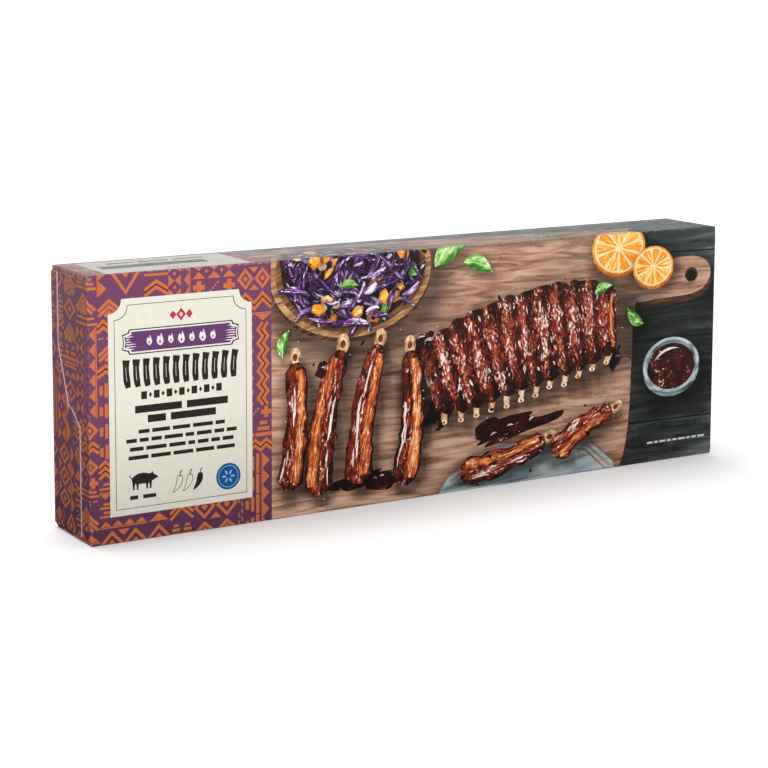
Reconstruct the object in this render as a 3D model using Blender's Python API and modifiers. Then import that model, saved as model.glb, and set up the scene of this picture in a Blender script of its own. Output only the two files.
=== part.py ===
"""A shut folding carton of ribs, standing on its long narrow side.

Metres, +Z up. The origin is the middle of the underside, the length runs along X and the front faces -Y.

The carton is one piece of printed board, folded round its load and glued at both ends, and nothing of its
inside can be seen. So it is one closed solid, with the folds, the layers of the end flaps, the cut of the
outer flap and the glued seam along the back as relief on it.
"""

import math

import bmesh
import bpy
from mathutils import Matrix, Vector

# The carton over all.
LENGTH = 0.380
DEPTH = 0.0434
HEIGHT = 0.1297

# The board: its thickness, and the outer radius of a fold.
BOARD = 0.0005
FOLD_RADIUS = 0.0008
FOLD_STEPS = 3

# The end flaps, one board thickness over another: short dust flaps from the top and the bottom, then the
# front panel's flap, then the back panel's flap on the outside.
DUST_FLAP_X = LENGTH / 2 - 2 * BOARD
INNER_FLAP_X = LENGTH / 2 - BOARD
OUTER_FLAP_X = LENGTH / 2
FLAP_TO_FOLD = 0.0026
INNER_FLAP_SHORT = 0.003
FLAP_ROOT = 0.003

# The outer flap's outline: a narrow strip beside the back fold above, and a wide tab below.
STRIP_WIDTH = 0.0078
TAB_WIDTH = 0.0332
TAB_SHOULDER = 0.0200
TAB_TOP_RUN = 0.0030
STRIP_FOOT_Z = 0.0920
TAB_TOP_Z = 0.0636
TAB_CHAMFER_DROP = 0.0078
FLAP_CORNER_RADIUS = 0.0016
FLAP_CORNER_STEPS = 4

# The seam: the back panel is glued over a narrow flap of the bottom panel and stops just above its fold.
SEAM_HEIGHT = 0.0012

# How far a piece reaches into the one that it is fused with, or past the one that it cuts.
OVERLAP = 0.002

BOARD_COLOUR = (0.16, 0.07, 0.10, 1.0)
BOARD_ROUGHNESS = 0.38


def clear_scene():
    """Removes every object that the scene starts with."""
    for thing in list(bpy.data.objects):
        bpy.data.objects.remove(thing, do_unlink=True)


def new_collection(name):
    """Makes a collection under the scene's own."""
    collection = bpy.data.collections.new(name)
    bpy.context.scene.collection.children.link(collection)
    return collection


def add_object(name, mesh, collection):
    """Puts a mesh into a collection as a new object."""
    thing = bpy.data.objects.new(name, mesh)
    collection.objects.link(thing)
    return thing


def add_box(name, low, high, collection):
    """Makes a box between two corners."""
    low, high = Vector(low), Vector(high)
    build = bmesh.new()
    place = Matrix.Translation((low + high) / 2) @ Matrix.Diagonal((*(high - low), 1.0))
    bmesh.ops.create_cube(build, size=1.0, matrix=place)
    mesh = bpy.data.meshes.new(name)
    build.to_mesh(mesh)
    build.free()
    return add_object(name, mesh, collection)


def round_folds(thing, is_fold=None):
    """Rounds a box's edges to the fold radius: all of them, or those whose middle passes the test."""
    bevel = thing.modifiers.new("folds", "BEVEL")
    bevel.width = FOLD_RADIUS
    bevel.segments = FOLD_STEPS
    if is_fold is None:
        bevel.limit_method = "NONE"
        return
    bevel.limit_method = "WEIGHT"
    mesh = thing.data
    weights = mesh.attributes.new("bevel_weight_edge", "FLOAT", "EDGE")
    for edge in mesh.edges:
        ends = [mesh.vertices[index].co for index in edge.vertices]
        if is_fold(*ends):
            weights.data[edge.index].value = 1.0


def is_upright_at(y):
    """Says whether an edge is upright and stands at the given depth."""
    def test(start, end):
        upright = abs(start.z - end.z) > abs(start.x - end.x) + abs(start.y - end.y)
        return upright and abs(start.y - y) < FOLD_RADIUS / 2
    return test


def rounded_outline(corners):
    """Replaces each corner of a flat outline that has a radius by an arc.

    Each corner is (point, radius), in order round the outline.
    """
    points = []
    for index, (corner, radius) in enumerate(corners):
        corner = Vector(corner)
        if radius == 0:
            points.append(corner)
            continue
        before = (Vector(corners[index - 1][0]) - corner).normalized()
        after = (Vector(corners[(index + 1) % len(corners)][0]) - corner).normalized()
        half = before.angle(after) / 2
        centre = corner + (before + after).normalized() * radius / math.sin(half)
        start = corner + before * radius / math.tan(half) - centre
        sweep = start.angle_signed(corner + after * radius / math.tan(half) - centre)
        for step in range(FLAP_CORNER_STEPS + 1):
            turn = Matrix.Rotation(-sweep * step / FLAP_CORNER_STEPS, 2)
            points.append(centre + turn @ start)
    return points


def outer_flap_outline():
    """Works out the outer flap's edge, as distance from the back fold and height."""
    low, high = FLAP_TO_FOLD, HEIGHT - FLAP_TO_FOLD
    radius = FLAP_CORNER_RADIUS
    return rounded_outline([
        ((FOLD_RADIUS, low), 0),
        ((TAB_WIDTH, low), radius),
        ((TAB_WIDTH, TAB_TOP_Z - TAB_CHAMFER_DROP), radius),
        ((TAB_SHOULDER + TAB_TOP_RUN, TAB_TOP_Z), radius),
        ((TAB_SHOULDER, TAB_TOP_Z), radius),
        ((STRIP_WIDTH, STRIP_FOOT_Z), radius),
        ((STRIP_WIDTH, high), 0),
        ((FOLD_RADIUS, high), 0),
    ])


def add_outer_flap(name, side, collection):
    """Makes one end's outer flap as a plate, cut to its outline; side is -1 at the left end and 1 at the right."""
    curve = bpy.data.curves.new(name, "CURVE")
    curve.dimensions = "2D"
    curve.fill_mode = "BOTH"
    thickness = 2 * BOARD + OVERLAP
    curve.extrude = thickness / 2
    outline = outer_flap_outline()
    spline = curve.splines.new("POLY")
    spline.points.add(len(outline) - 1)
    for point, (from_fold, up) in zip(spline.points, outline):
        point.co = (DEPTH / 2 - from_fold, up, 0, 1)
    spline.use_cyclic_u = True
    guide = add_object(name + "_outline", curve, collection)
    guide.location.x = side * (OUTER_FLAP_X - thickness / 2)
    guide.rotation_euler = (math.radians(90), 0, math.radians(90))
    return to_mesh_object(name, guide, collection)


def to_mesh_object(name, source, collection):
    """Replaces a curve object by a closed mesh object at the same place."""
    bpy.context.view_layer.update()
    evaluated = source.evaluated_get(bpy.context.evaluated_depsgraph_get())
    mesh = bpy.data.meshes.new_from_object(evaluated)
    build = bmesh.new()
    build.from_mesh(mesh)
    bmesh.ops.remove_doubles(build, verts=build.verts, dist=0.00001)
    build.to_mesh(mesh)
    build.free()
    thing = add_object(name, mesh, collection)
    thing.matrix_world = source.matrix_world.copy()
    bpy.data.objects.remove(source, do_unlink=True)
    return thing


def add_body(collection):
    """Makes the four panels' box, as long as the dust flaps' folds, with all its folds rounded."""
    low = (-DUST_FLAP_X, -DEPTH / 2, 0)
    high = (DUST_FLAP_X, DEPTH / 2, HEIGHT)
    body = add_box("carton", low, high, collection)
    round_folds(body)
    return body


def add_seam_cutter(collection):
    """Makes the long bar that leaves the back panel's lower edge standing proud of the bottom's glue flap."""
    low = (-LENGTH, DEPTH / 2 - BOARD, -OVERLAP)
    high = (LENGTH, DEPTH / 2 + OVERLAP, SEAM_HEIGHT)
    cutter = add_box("seam_cutter", low, high, collection)
    cutter.hide_render = True
    cutter.display_type = "WIRE"
    return cutter


def add_flaps(collection):
    """Makes what the flaps add at both ends: the front panel's flap, the back fold and the outer flap."""
    low_z, high_z = FLAP_TO_FOLD, HEIGHT - FLAP_TO_FOLD
    inner = add_box(
        "inner_flaps",
        (-INNER_FLAP_X, -DEPTH / 2, low_z),
        (INNER_FLAP_X, DEPTH / 2 - INNER_FLAP_SHORT, high_z),
        collection,
    )
    round_folds(inner, is_upright_at(-DEPTH / 2))
    root = add_box(
        "outer_flap_folds",
        (-OUTER_FLAP_X, DEPTH / 2 - FLAP_ROOT, low_z),
        (OUTER_FLAP_X, DEPTH / 2, high_z),
        collection,
    )
    round_folds(root, is_upright_at(DEPTH / 2))
    for side, name in ((-1, "outer_flap_left"), (1, "outer_flap_right")):
        add_outer_flap(name, side, collection)


def add_boolean(thing, name, operation):
    """Adds an exact Boolean modifier and returns it."""
    modifier = thing.modifiers.new(name, "BOOLEAN")
    modifier.operation = operation
    modifier.solver = "EXACT"
    return modifier


def apply_modifiers(thing):
    """Turns an object's evaluated shape into its own mesh."""
    bpy.context.view_layer.update()
    evaluated = thing.evaluated_get(bpy.context.evaluated_depsgraph_get())
    mesh = bpy.data.meshes.new_from_object(evaluated)
    thing.modifiers.clear()
    thing.data = mesh


def remove_collection(collection):
    """Removes a collection with the objects in it."""
    for thing in list(collection.objects):
        bpy.data.objects.remove(thing, do_unlink=True)
    bpy.data.collections.remove(collection)


def shade(thing):
    """Shades the folds smooth and keeps the cut edges sharp."""
    thing.data.shade_smooth()
    thing.data.set_sharp_from_angle(angle=math.radians(35))


def board_material():
    """Makes the varnished printed board's material."""
    material = bpy.data.materials.new("printed_board")
    material.use_nodes = True
    surface = material.node_tree.nodes["Principled BSDF"]
    surface.inputs["Base Color"].default_value = BOARD_COLOUR
    surface.inputs["Roughness"].default_value = BOARD_ROUGHNESS
    surface.inputs["Metallic"].default_value = 0.0
    return material


def main():
    """Builds the carton."""
    clear_scene()
    parts = new_collection("ribs_carton")
    cutters = new_collection("cutters")
    flaps = new_collection("flaps")

    carton = add_body(parts)
    add_boolean(carton, "seam", "DIFFERENCE").object = add_seam_cutter(cutters)
    add_flaps(flaps)
    fuse = add_boolean(carton, "flaps", "UNION")
    fuse.operand_type = "COLLECTION"
    fuse.collection = flaps
    apply_modifiers(carton)
    remove_collection(flaps)
    remove_collection(cutters)

    shade(carton)
    carton.data.materials.clear()
    carton.data.materials.append(board_material())


main()
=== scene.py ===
"""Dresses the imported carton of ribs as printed, folded board and stands it in a plain pale studio.

The carton is four panels of one board, each with its end flaps. A panel is drawn flat: fields of ink are
laid one over another, cut into one mesh that has a material for each ink, and folded round the carton. Flat
places are given in millimetres, as (x, v): x runs along the carton from its middle, and v runs up the front
from its lower fold, over the top, down the back and along the bottom.
"""
import logging
import math
import random
from dataclasses import dataclass, field
from enum import Enum
from functools import cache
from typing import Callable, Iterator, Sequence

import bpy
import numpy as np
from mathutils import Matrix, Vector
from mathutils.geometry import delaunay_2d_cdt


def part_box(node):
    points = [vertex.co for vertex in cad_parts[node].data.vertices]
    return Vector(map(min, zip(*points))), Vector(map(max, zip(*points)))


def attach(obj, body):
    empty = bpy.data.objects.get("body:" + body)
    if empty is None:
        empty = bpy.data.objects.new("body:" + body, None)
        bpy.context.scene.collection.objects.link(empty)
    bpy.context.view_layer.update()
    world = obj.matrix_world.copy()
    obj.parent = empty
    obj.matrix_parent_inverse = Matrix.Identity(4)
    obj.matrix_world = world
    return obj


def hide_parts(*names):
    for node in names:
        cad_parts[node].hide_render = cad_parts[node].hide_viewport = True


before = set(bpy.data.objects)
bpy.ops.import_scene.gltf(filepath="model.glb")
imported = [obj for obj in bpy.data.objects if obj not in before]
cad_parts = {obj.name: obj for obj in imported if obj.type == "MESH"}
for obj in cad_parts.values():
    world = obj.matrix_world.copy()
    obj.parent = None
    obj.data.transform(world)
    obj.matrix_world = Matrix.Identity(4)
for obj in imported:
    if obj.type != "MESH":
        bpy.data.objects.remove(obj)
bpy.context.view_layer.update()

LOG = logging.getLogger("carton")

Point = tuple[float, float]
Outline = list[Point]
Socket = bpy.types.NodeSocket

NODE = "carton"
BODY = "root"
MM = 0.001

# The carton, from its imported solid, in millimetres.
LOW, HIGH = (Vector(corner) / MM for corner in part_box(NODE))
LENGTH = HIGH.x - LOW.x
DEPTH = HIGH.y - LOW.y
HEIGHT = HIGH.z - LOW.z

# The folded board, as the solid has it.
BOARD = 0.5
FOLD_RADIUS = 0.8
FLAP_TO_FOLD = 2.6
SEAM_HEIGHT = 1.2
OUTER_FOLD_X = LENGTH / 2
INNER_FOLD_X = OUTER_FOLD_X - BOARD
DUST_FOLD_X = OUTER_FOLD_X - 2 * BOARD

# Where each fold lies along v.
FRONT_FOOT = 0.0
FRONT_HEAD = HEIGHT
BACK_HEAD = HEIGHT + DEPTH
BACK_FOOT = 2 * HEIGHT + DEPTH
GIRTH = 2 * HEIGHT + 2 * DEPTH
FOLDS = (FRONT_FOOT, FRONT_HEAD, BACK_HEAD, BACK_FOOT, GIRTH)

# Where the print changes from the woven pattern to the picture.
PATTERN_END = -LENGTH / 2 + 97.3

# How strongly the pictured shadows show: below one, they are softer than the light that they leave.
SHADOW_POWER = 0.65


def linear(colour: str) -> tuple[float, ...]:
    """Turns a colour as it looks on a screen, written as six hex digits, into linear light with an alpha."""
    parts = [int(colour[i:i + 2], 16) / 255 for i in (0, 2, 4)]
    return (*(c / 12.92 if c <= 0.04045 else ((c + 0.055) / 1.055) ** 2.4 for c in parts), 1.0)


@dataclass
class NodeMaker:
    """Adds shader nodes to one material and hands back their outputs."""

    tree: bpy.types.NodeTree

    def add(self, kind: str, **settings: object) -> bpy.types.Node:
        """Adds a node and sets its own settings.

        Args:
            kind: The node's type name.
            settings: Attribute values of the node.

        Returns:
            The new node.
        """
        node = self.tree.nodes.new(kind)
        for name, value in settings.items():
            setattr(node, name, value)
        return node

    def feed(self, socket: Socket, value: object) -> None:
        """Links an output to an input, or sets the input's value.

        Args:
            socket: The input.
            value: An output, or a plain value.
        """
        if isinstance(value, bpy.types.NodeSocket):
            self.tree.links.new(value, socket)
        else:
            socket.default_value = value

    def attribute(self, name: str, output: str = "Vector") -> Socket:
        """Reads one of the mesh's attributes."""
        return self.add("ShaderNodeAttribute", attribute_name=name).outputs[output]

    def parts(self, vector: Socket) -> tuple[Socket, Socket, Socket]:
        """Takes a vector apart.

        Args:
            vector: The vector.

        Returns:
            Its three parts.
        """
        node = self.add("ShaderNodeSeparateXYZ")
        self.feed(node.inputs[0], vector)
        return node.outputs[0], node.outputs[1], node.outputs[2]

    def math(self, operation: str, *inputs: object, clamp: bool = False) -> Socket:
        """Works out one sum.

        Args:
            operation: The Math node's operation.
            inputs: Its inputs in turn, numbers or outputs.
            clamp: Whether the result is kept between zero and one.

        Returns:
            The result.
        """
        node = self.add("ShaderNodeMath", operation=operation, use_clamp=clamp)
        for socket, value in zip(node.inputs, inputs):
            self.feed(socket, value)
        return node.outputs[0]

    def noise(self, place: Socket, size: float, detail: float = 3.0, warp: float = 0.0) -> Socket:
        """Makes soft noise, from zero to one.

        Args:
            place: Where it is read.
            size: About how large its features are.
            detail: How fine it goes.
            warp: How wavy it is.

        Returns:
            The noise.
        """
        node = self.add("ShaderNodeTexNoise", noise_dimensions="3D")
        self.feed(node.inputs["Vector"], place)
        node.inputs["Scale"].default_value = 1 / size
        node.inputs["Detail"].default_value = detail
        node.inputs["Distortion"].default_value = warp
        return node.outputs["Fac"]

    def spread(self, value: Socket, low: float, high: float, start: float = 0.0, end: float = 1.0) -> Socket:
        """Maps one range to another, and keeps within it.

        Args:
            value: The value.
            low: What becomes start.
            high: What becomes end.
            start: The new range's beginning.
            end: The new range's end.

        Returns:
            The mapped value.
        """
        node = self.add("ShaderNodeMapRange", clamp=True)
        for name, number in (("From Min", low), ("From Max", high), ("To Min", start), ("To Max", end)):
            node.inputs[name].default_value = number
        self.feed(node.inputs["Value"], value)
        return node.outputs["Result"]

    def mix(self, share: object, first: object, second: object, blend: str = "MIX") -> Socket:
        """Mixes two colours.

        Args:
            share: How much of the second is taken.
            first: The first colour.
            second: The second colour.
            blend: The Mix node's way of mixing.

        Returns:
            The mixed colour.
        """
        node = self.add("ShaderNodeMix", data_type="RGBA", blend_type=blend)
        self.feed(node.inputs[0], share)
        self.feed(node.inputs[6], first)
        self.feed(node.inputs[7], second)
        return node.outputs[2]

    def ramp(self, value: Socket, stops: Sequence[tuple[float, str]]) -> Socket:
        """Turns a value into a colour.

        Args:
            value: The value.
            stops: Its colours, as (value, six hex digits).

        Returns:
            The colour.
        """
        node = self.add("ShaderNodeValToRGB")
        marks = node.color_ramp.elements
        while len(marks) < len(stops):
            marks.new(0.5)
        for mark, (at, colour) in zip(marks, stops):
            mark.position = at
            mark.color = linear(colour)
        self.feed(node.inputs["Fac"], value)
        return node.outputs["Color"]

    def stretched(self, along: float, across: float) -> Socket:
        """Gives flat places turned to each field's own grain, and drawn out along it.

        Args:
            along: How long a unit is along the grain, in millimetres.
            across: How long it is across.

        Returns:
            The places.
        """
        turn = self.add("ShaderNodeVectorRotate", rotation_type="Z_AXIS")
        self.feed(turn.inputs["Vector"], self.attribute("blank"))
        angle = self.math("MULTIPLY", self.attribute("grain", "Fac"), -1.0)
        self.feed(turn.inputs["Angle"], angle)
        scale = self.add("ShaderNodeVectorMath", operation="MULTIPLY")
        self.feed(scale.inputs[0], turn.outputs[0])
        scale.inputs[1].default_value = (1 / along, 1 / across, 1.0)
        return scale.outputs[0]


@dataclass(frozen=True)
class Finish:
    """What every surface shares: a clear varnish over fibrous board, worn at the folds, with painted shade
    that darkens the colour towards the carton's foot.

    Attributes:
        roughness: Middle roughness of the varnish.
        gloss_spread: How far the roughness strays in patches.
        relief: Strength of the board's fibre and of the sheet's slow ripple.
        wear: How much bare board shows through at the folds.
        painted_foot_brightness: How much of the print's brightness the painted shade leaves at the carton's
            foot, against its head.
        exposure: How bright the print is as a whole.
        ior: How strongly the varnish bends light.
    """

    roughness: float = 0.27
    gloss_spread: float = 0.05
    relief: float = 0.10
    wear: float = 0.5
    # Painted shade: below half the carton's height, the colour darkens towards its foot to this share of its
    # brightness.
    painted_foot_brightness: float = 0.70
    exposure: float = 1.0
    ior: float = 1.40

    def colour(self, nodes: NodeMaker) -> Socket:
        """Gives the surface's colour; each kind of finish has its own."""
        raise NotImplementedError

    def material(self, name: str) -> bpy.types.Material:
        """Makes the Blender material.

        Args:
            name: The material's name.

        Returns:
            A material with one Principled shader.
        """
        made = bpy.data.materials.new(name)
        made.use_nodes = True
        nodes = NodeMaker(made.node_tree)
        surface = made.node_tree.nodes["Principled BSDF"]
        place = nodes.attribute("blank")
        height = nodes.parts(nodes.add("ShaderNodeTexCoord").outputs["Object"])[2]
        # Painted shade: the colour darkens with height towards the carton's foot, and is also multiplied by
        # the pictured shadows of the printed picture.
        painted_foot_shade = nodes.spread(height, 0.0, 0.5 * HEIGHT * MM, self.painted_foot_brightness * self.exposure, self.exposure)
        shade = nodes.math("MULTIPLY", painted_foot_shade, nodes.attribute("shade", "Fac"))
        print_colour = nodes.mix(1.0, self.colour(nodes), shade, "MULTIPLY")
        chips = nodes.spread(nodes.noise(place, 2.2, 4), 0.5, 0.72, 0.0, self.wear)
        worn = nodes.math("MULTIPLY", nodes.attribute("fold", "Fac"), chips, clamp=True)
        nodes.feed(surface.inputs["Base Color"], nodes.mix(worn, print_colour, linear("d8cfd0")))
        low, high = self.roughness - self.gloss_spread, self.roughness + self.gloss_spread
        rough = nodes.spread(nodes.noise(place, 9.0, 4), 0.3, 0.7, low, high)
        nodes.feed(surface.inputs["Roughness"], rough)
        bumps = nodes.math("MULTIPLY_ADD", nodes.noise(place, 14.0, 2), 6.0, nodes.noise(place, 0.6, 2))
        bump = nodes.add("ShaderNodeBump")
        bump.inputs["Strength"].default_value = self.relief
        bump.inputs["Distance"].default_value = 0.02 * MM
        nodes.feed(bump.inputs["Height"], bumps)
        nodes.feed(surface.inputs["Normal"], bump.outputs[0])
        surface.inputs["IOR"].default_value = self.ior
        return made


@dataclass(frozen=True)
class SolidInk(Finish):
    """An even ink.

    Attributes:
        tint: Its colour.
        mottle: How strong its mottle is.
        mottle_size: How large the mottle's spots are, in millimetres.
    """

    tint: str = "ffffff"
    mottle: float = 0.12
    mottle_size: float = 1.1

    def colour(self, nodes: NodeMaker) -> Socket:
        """Gives the ink's colour."""
        spots = nodes.noise(nodes.attribute("blank"), self.mottle_size, 3)
        return nodes.mix(1.0, linear(self.tint), nodes.spread(spots, 0.3, 0.7, 1 - self.mottle), "MULTIPLY")


@dataclass(frozen=True)
class PictureInk(Finish):
    """A printed picture of a grained or mottled thing.

    Attributes:
        stops: Its colours, from its darkest places to its lightest.
        along: How long its grain is, in millimetres.
        across: How wide its grain is.
        detail: How fine its grain goes.
        warp: How wavy its grain is.
        contrast: How strongly the grain shows.
        body: How much darker it is towards its sides, as a round thing is.
        lit: How much lighter its left side is.
        ridges: How many ridges lie across it.
        ridge_depth: How strongly they show.
        glint_long: How long its glints are, in millimetres.
        glint_wide: How wide they are.
        gather: How much the glints keep to the light places.
        glints: What shows of them, as (from, to, colour).
    """

    # The picture takes a weaker painted shade towards the carton's foot, and is brighter as a whole.
    painted_foot_brightness: float = 0.86
    exposure: float = 1.30
    stops: tuple[tuple[float, str], ...] = ((0.0, "000000"), (1.0, "ffffff"))
    along: float = 6.0
    across: float = 6.0
    detail: float = 4.0
    warp: float = 0.6
    contrast: float = 1.0
    body: float = 0.0
    lit: float = 0.0
    ridges: int = 0
    ridge_depth: float = 0.12
    glint_long: float = 2.5
    glint_wide: float = 1.2
    gather: float = 0.5
    glints: tuple[tuple[float, float, str], ...] = ()

    def colour(self, nodes: NodeMaker) -> Socket:
        """Gives the picture's colour.

        Args:
            nodes: The material's nodes.

        Returns:
            The colour.
        """
        along, across, tone = nodes.parts(nodes.attribute("form"))
        grain = nodes.noise(nodes.stretched(self.along, self.across), 1.0, self.detail, self.warp)
        value = nodes.math("MULTIPLY_ADD", grain, self.contrast, 0.5 - 0.5 * self.contrast)
        value = nodes.math("MULTIPLY_ADD", nodes.math("SUBTRACT", tone, 0.5), 0.35, value)
        if self.body:
            sides = nodes.math("POWER", nodes.math("ABSOLUTE", across), 2.0)
            value = nodes.math("MULTIPLY_ADD", sides, -self.body, value)
        if self.lit:
            value = nodes.math("MULTIPLY_ADD", across, self.lit, value)
        if self.ridges:
            strayed = nodes.math("MULTIPLY_ADD", nodes.noise(nodes.attribute("blank"), 16.0, 2), 0.05, along)
            wave = nodes.math("COSINE", nodes.math("MULTIPLY", strayed, 2 * math.pi * self.ridges))
            value = nodes.math("MULTIPLY_ADD", wave, -self.ridge_depth, value)
        made = nodes.ramp(value, self.stops)
        if self.glints:
            specks = nodes.noise(nodes.stretched(self.glint_long, self.glint_wide), 1.0, 6, 1.2)
            specks = nodes.math("MULTIPLY_ADD", nodes.math("SUBTRACT", value, 0.5), self.gather, specks)
            patches = nodes.math("SUBTRACT", nodes.noise(nodes.attribute("blank"), 13.0, 2), 0.5)
            specks = nodes.math("MULTIPLY_ADD", patches, 0.4, specks)
            for low, high, tint in self.glints:
                made = nodes.mix(nodes.spread(specks, low, high), made, linear(tint))
        return made


def glossy(low: float, middle: str, bright: str) -> tuple[tuple[float, float, str], ...]:
    """Gives the two steps of a wet highlight: a soft edge and a bright heart."""
    return ((low, low + 0.035, middle), (low + 0.05, low + 0.085, bright))


class Ink(Enum):
    """Every ink and bare surface of the carton, with its finish."""

    # Some inks take their own strength of the painted shade that darkens the print towards the carton's
    # foot.
    PURPLE = SolidInk(tint="7b4669", painted_foot_brightness=0.46)
    ORANGE = SolidInk(tint="da7844", painted_foot_brightness=0.72)
    MAROON = SolidInk(tint="5c1c2c")
    ROSE = SolidInk(tint="cb7a62", painted_foot_brightness=0.66)
    CREAM = SolidInk(tint="f3efe0", mottle=0.05, mottle_size=3.0, wear=0.2)
    CHARCOAL = SolidInk(tint="2c2926", mottle=0.3, mottle_size=0.7)
    VIOLET = SolidInk(tint="6c3f72")
    WHITE = SolidInk(tint="f8f4ee", mottle=0.04)
    RED = SolidInk(tint="d43245")
    BLUE = SolidInk(tint="0c5a9e")
    PALE_BLUE = SolidInk(tint="9cc4dc")
    SLATE = PictureInk(
        stops=((0.3, "303232"), (0.5, "4a5150"), (0.7, "68716f")), along=34, across=4, detail=7,
        contrast=1.3, glint_long=3, glint_wide=0.8, gather=0.3, glints=((0.63, 0.74, "7f8b8a"),))
    SLATE_JOINT = PictureInk(stops=((0.3, "040404"), (0.7, "0e0d0c")))
    PLANK = PictureInk(
        stops=((0.25, "764b38"), (0.42, "9f725c"), (0.55, "bd927b"), (0.7, "d2ad97")), along=30, across=3.4,
        detail=8, warp=0.9, contrast=1.15, glint_long=5, glint_wide=0.5, gather=0.2,
        glints=((0.58, 0.70, "b99c86"),))
    PLANK_EDGE = PictureInk(
        stops=((0.3, "24140c"), (0.55, "4d3120"), (0.75, "85603f")), along=30, across=1.6, detail=6)
    RACK = PictureInk(
        stops=((0.22, "120605"), (0.38, "3c110c"), (0.50, "702317"), (0.62, "a13f25"), (0.78, "cf7443")),
        along=5, across=2.6, detail=8, warp=1.6, contrast=1.25, body=0.20, lit=0.05, ridges=12,
        glint_long=3.4, glint_wide=1.3, gather=0.55, glints=glossy(0.585, "a3695c", "ecd6d0"))
    GLAZE = PictureInk(
        stops=((0.22, "140706"), (0.40, "4a150e"), (0.54, "842b19"), (0.68, "b04d2a"), (0.8, "d07840")),
        along=7, across=2.4, detail=8, warp=1.4, contrast=1.2, body=0.24, lit=0.06,
        glint_long=3.2, glint_wide=1.2, gather=0.55, glints=glossy(0.585, "a76a58", "f0dfd6"))
    CUT = PictureInk(
        stops=((0.15, "3a130b"), (0.32, "943a1b"), (0.47, "cb6b34"), (0.6, "e49a58"), (0.76, "f6c894")),
        along=8, across=1.9, detail=8, warp=1.3, contrast=1.35, body=0.30, lit=0.04,
        glint_long=2.6, glint_wide=0.9, gather=0.4, glints=glossy(0.585, "efb68c", "fbe6d0"))
    FIBRE = PictureInk(stops=((0.3, "4c1a0e"), (0.7, "86401f")), along=8, across=1)
    SHINE = PictureInk(
        stops=((0.25, "a98078"), (0.5, "e2cfca"), (0.7, "fbf4f1")), along=3, across=1.2, body=0.2)
    BONE = PictureInk(
        stops=((0.2, "7e4f30"), (0.42, "c69f76"), (0.6, "ead3b0"), (0.8, "f7ecd6")),
        along=4, across=2, body=0.3)
    SAUCE = PictureInk(
        stops=((0.3, "0e0403"), (0.55, "2c0906"), (0.75, "56150c")), along=7, across=5,
        glint_long=3, glint_wide=2, gather=0.2, glints=glossy(0.64, "7d5048", "e3d3cd"))
    LEAF = PictureInk(
        stops=((0.2, "1c4512"), (0.42, "3f7a2a"), (0.58, "74ac4a"), (0.78, "b4d989")), along=6, across=2.4,
        detail=5, body=0.14, lit=0.16, glint_long=5, glint_wide=1.5, glints=((0.62, 0.7, "d5ecb4"),))
    LEAF_VEIN = PictureInk(stops=((0.3, "9cc774"), (0.7, "cbe4a4")))
    PEEL = PictureInk(
        stops=((0.25, "b8560a"), (0.5, "e9861a"), (0.75, "f9b244")), along=3, across=3, body=0.1, lit=0.08)
    PITH = PictureInk(stops=((0.3, "efd08c"), (0.7, "fdeec4")), along=3, across=3)
    FLESH = PictureInk(
        stops=((0.22, "dd7408"), (0.45, "f6971c"), (0.6, "fdb63c"), (0.8, "fee08a")), along=7, across=1.2,
        detail=6, contrast=1.3, glint_long=3, glint_wide=0.8, glints=((0.63, 0.7, "fff1c4"),))
    ONION = PictureInk(
        stops=((0.15, "120817"), (0.36, "34153f"), (0.52, "5f3070"), (0.66, "9367a4"), (0.8, "dccbe4")),
        along=9, across=1.1, detail=6, contrast=1.25, body=0.28, lit=0.16,
        glint_long=3, glint_wide=0.8, gather=0.5, glints=((0.60, 0.66, "e9dff0"),))
    ONION_PALE = PictureInk(
        stops=((0.2, "6b4a7a"), (0.4, "a98cb8"), (0.6, "e0d2e8"), (0.8, "fbf6fc")), along=9, across=1.1,
        contrast=1.2, body=0.25, lit=0.12)
    BOWL = PictureInk(
        stops=((0.25, "5d3820"), (0.45, "8c5f3d"), (0.6, "b2855a"), (0.8, "d0a67a")), along=18, across=1.8,
        detail=6, contrast=1.2)
    BOWL_SHADE = PictureInk(stops=((0.3, "1b0e0a"), (0.7, "43281a")), along=14, across=2)
    CLOTH = PictureInk(
        stops=((0.2, "3f4c53"), (0.4, "7b8d94"), (0.56, "9fb0b4"), (0.75, "c2cfd0")), along=55, across=6,
        detail=3, warp=0.3, contrast=1.7, glint_long=9, glint_wide=0.35, gather=0.2,
        glints=((0.60, 0.68, "c9a07c"),))
    RUST = PictureInk(stops=((0.3, "8f4a26"), (0.7, "c27a48")), along=3, across=1)
    CUT_EDGE = SolidInk(tint="ddcfda", mottle=0.16, mottle_size=0.5, roughness=0.75, wear=0.0)
    RAW_BOARD = SolidInk(tint="b5aca0", mottle=0.1, mottle_size=1.0, roughness=0.8, wear=0.0)


@cache
def ink_material(ink: Ink) -> bpy.types.Material:
    """Gives an ink's material, made at the first asking."""
    return ink.value.material("ink_" + ink.name.lower())


def box(left: float, low: float, right: float, high: float) -> Outline:
    """Gives a rectangle's outline."""
    return [(left, low), (right, low), (right, high), (left, high)]


def ring(centre: Point, wide: float, high: float, count: int = 24, turn: float = 0.0) -> Outline:
    """Gives an ellipse's outline.

    Args:
        centre: Its middle.
        wide: Half its width before it is turned.
        high: Half its height before it is turned.
        count: How many points it has.
        turn: How far it is turned, in radians.

    Returns:
        The outline.
    """
    cos, sin = math.cos(turn), math.sin(turn)
    points = []
    for step in range(count):
        angle = 2 * math.pi * step / count
        a, b = wide * math.cos(angle), high * math.sin(angle)
        points.append((centre[0] + a * cos - b * sin, centre[1] + a * sin + b * cos))
    return points


def lozenge(centre: Point, wide: float, high: float) -> Outline:
    """Gives a lozenge's outline from half its width and half its height."""
    x, y = centre
    return [(x - wide, y), (x, y - high), (x + wide, y), (x, y + high)]


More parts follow.
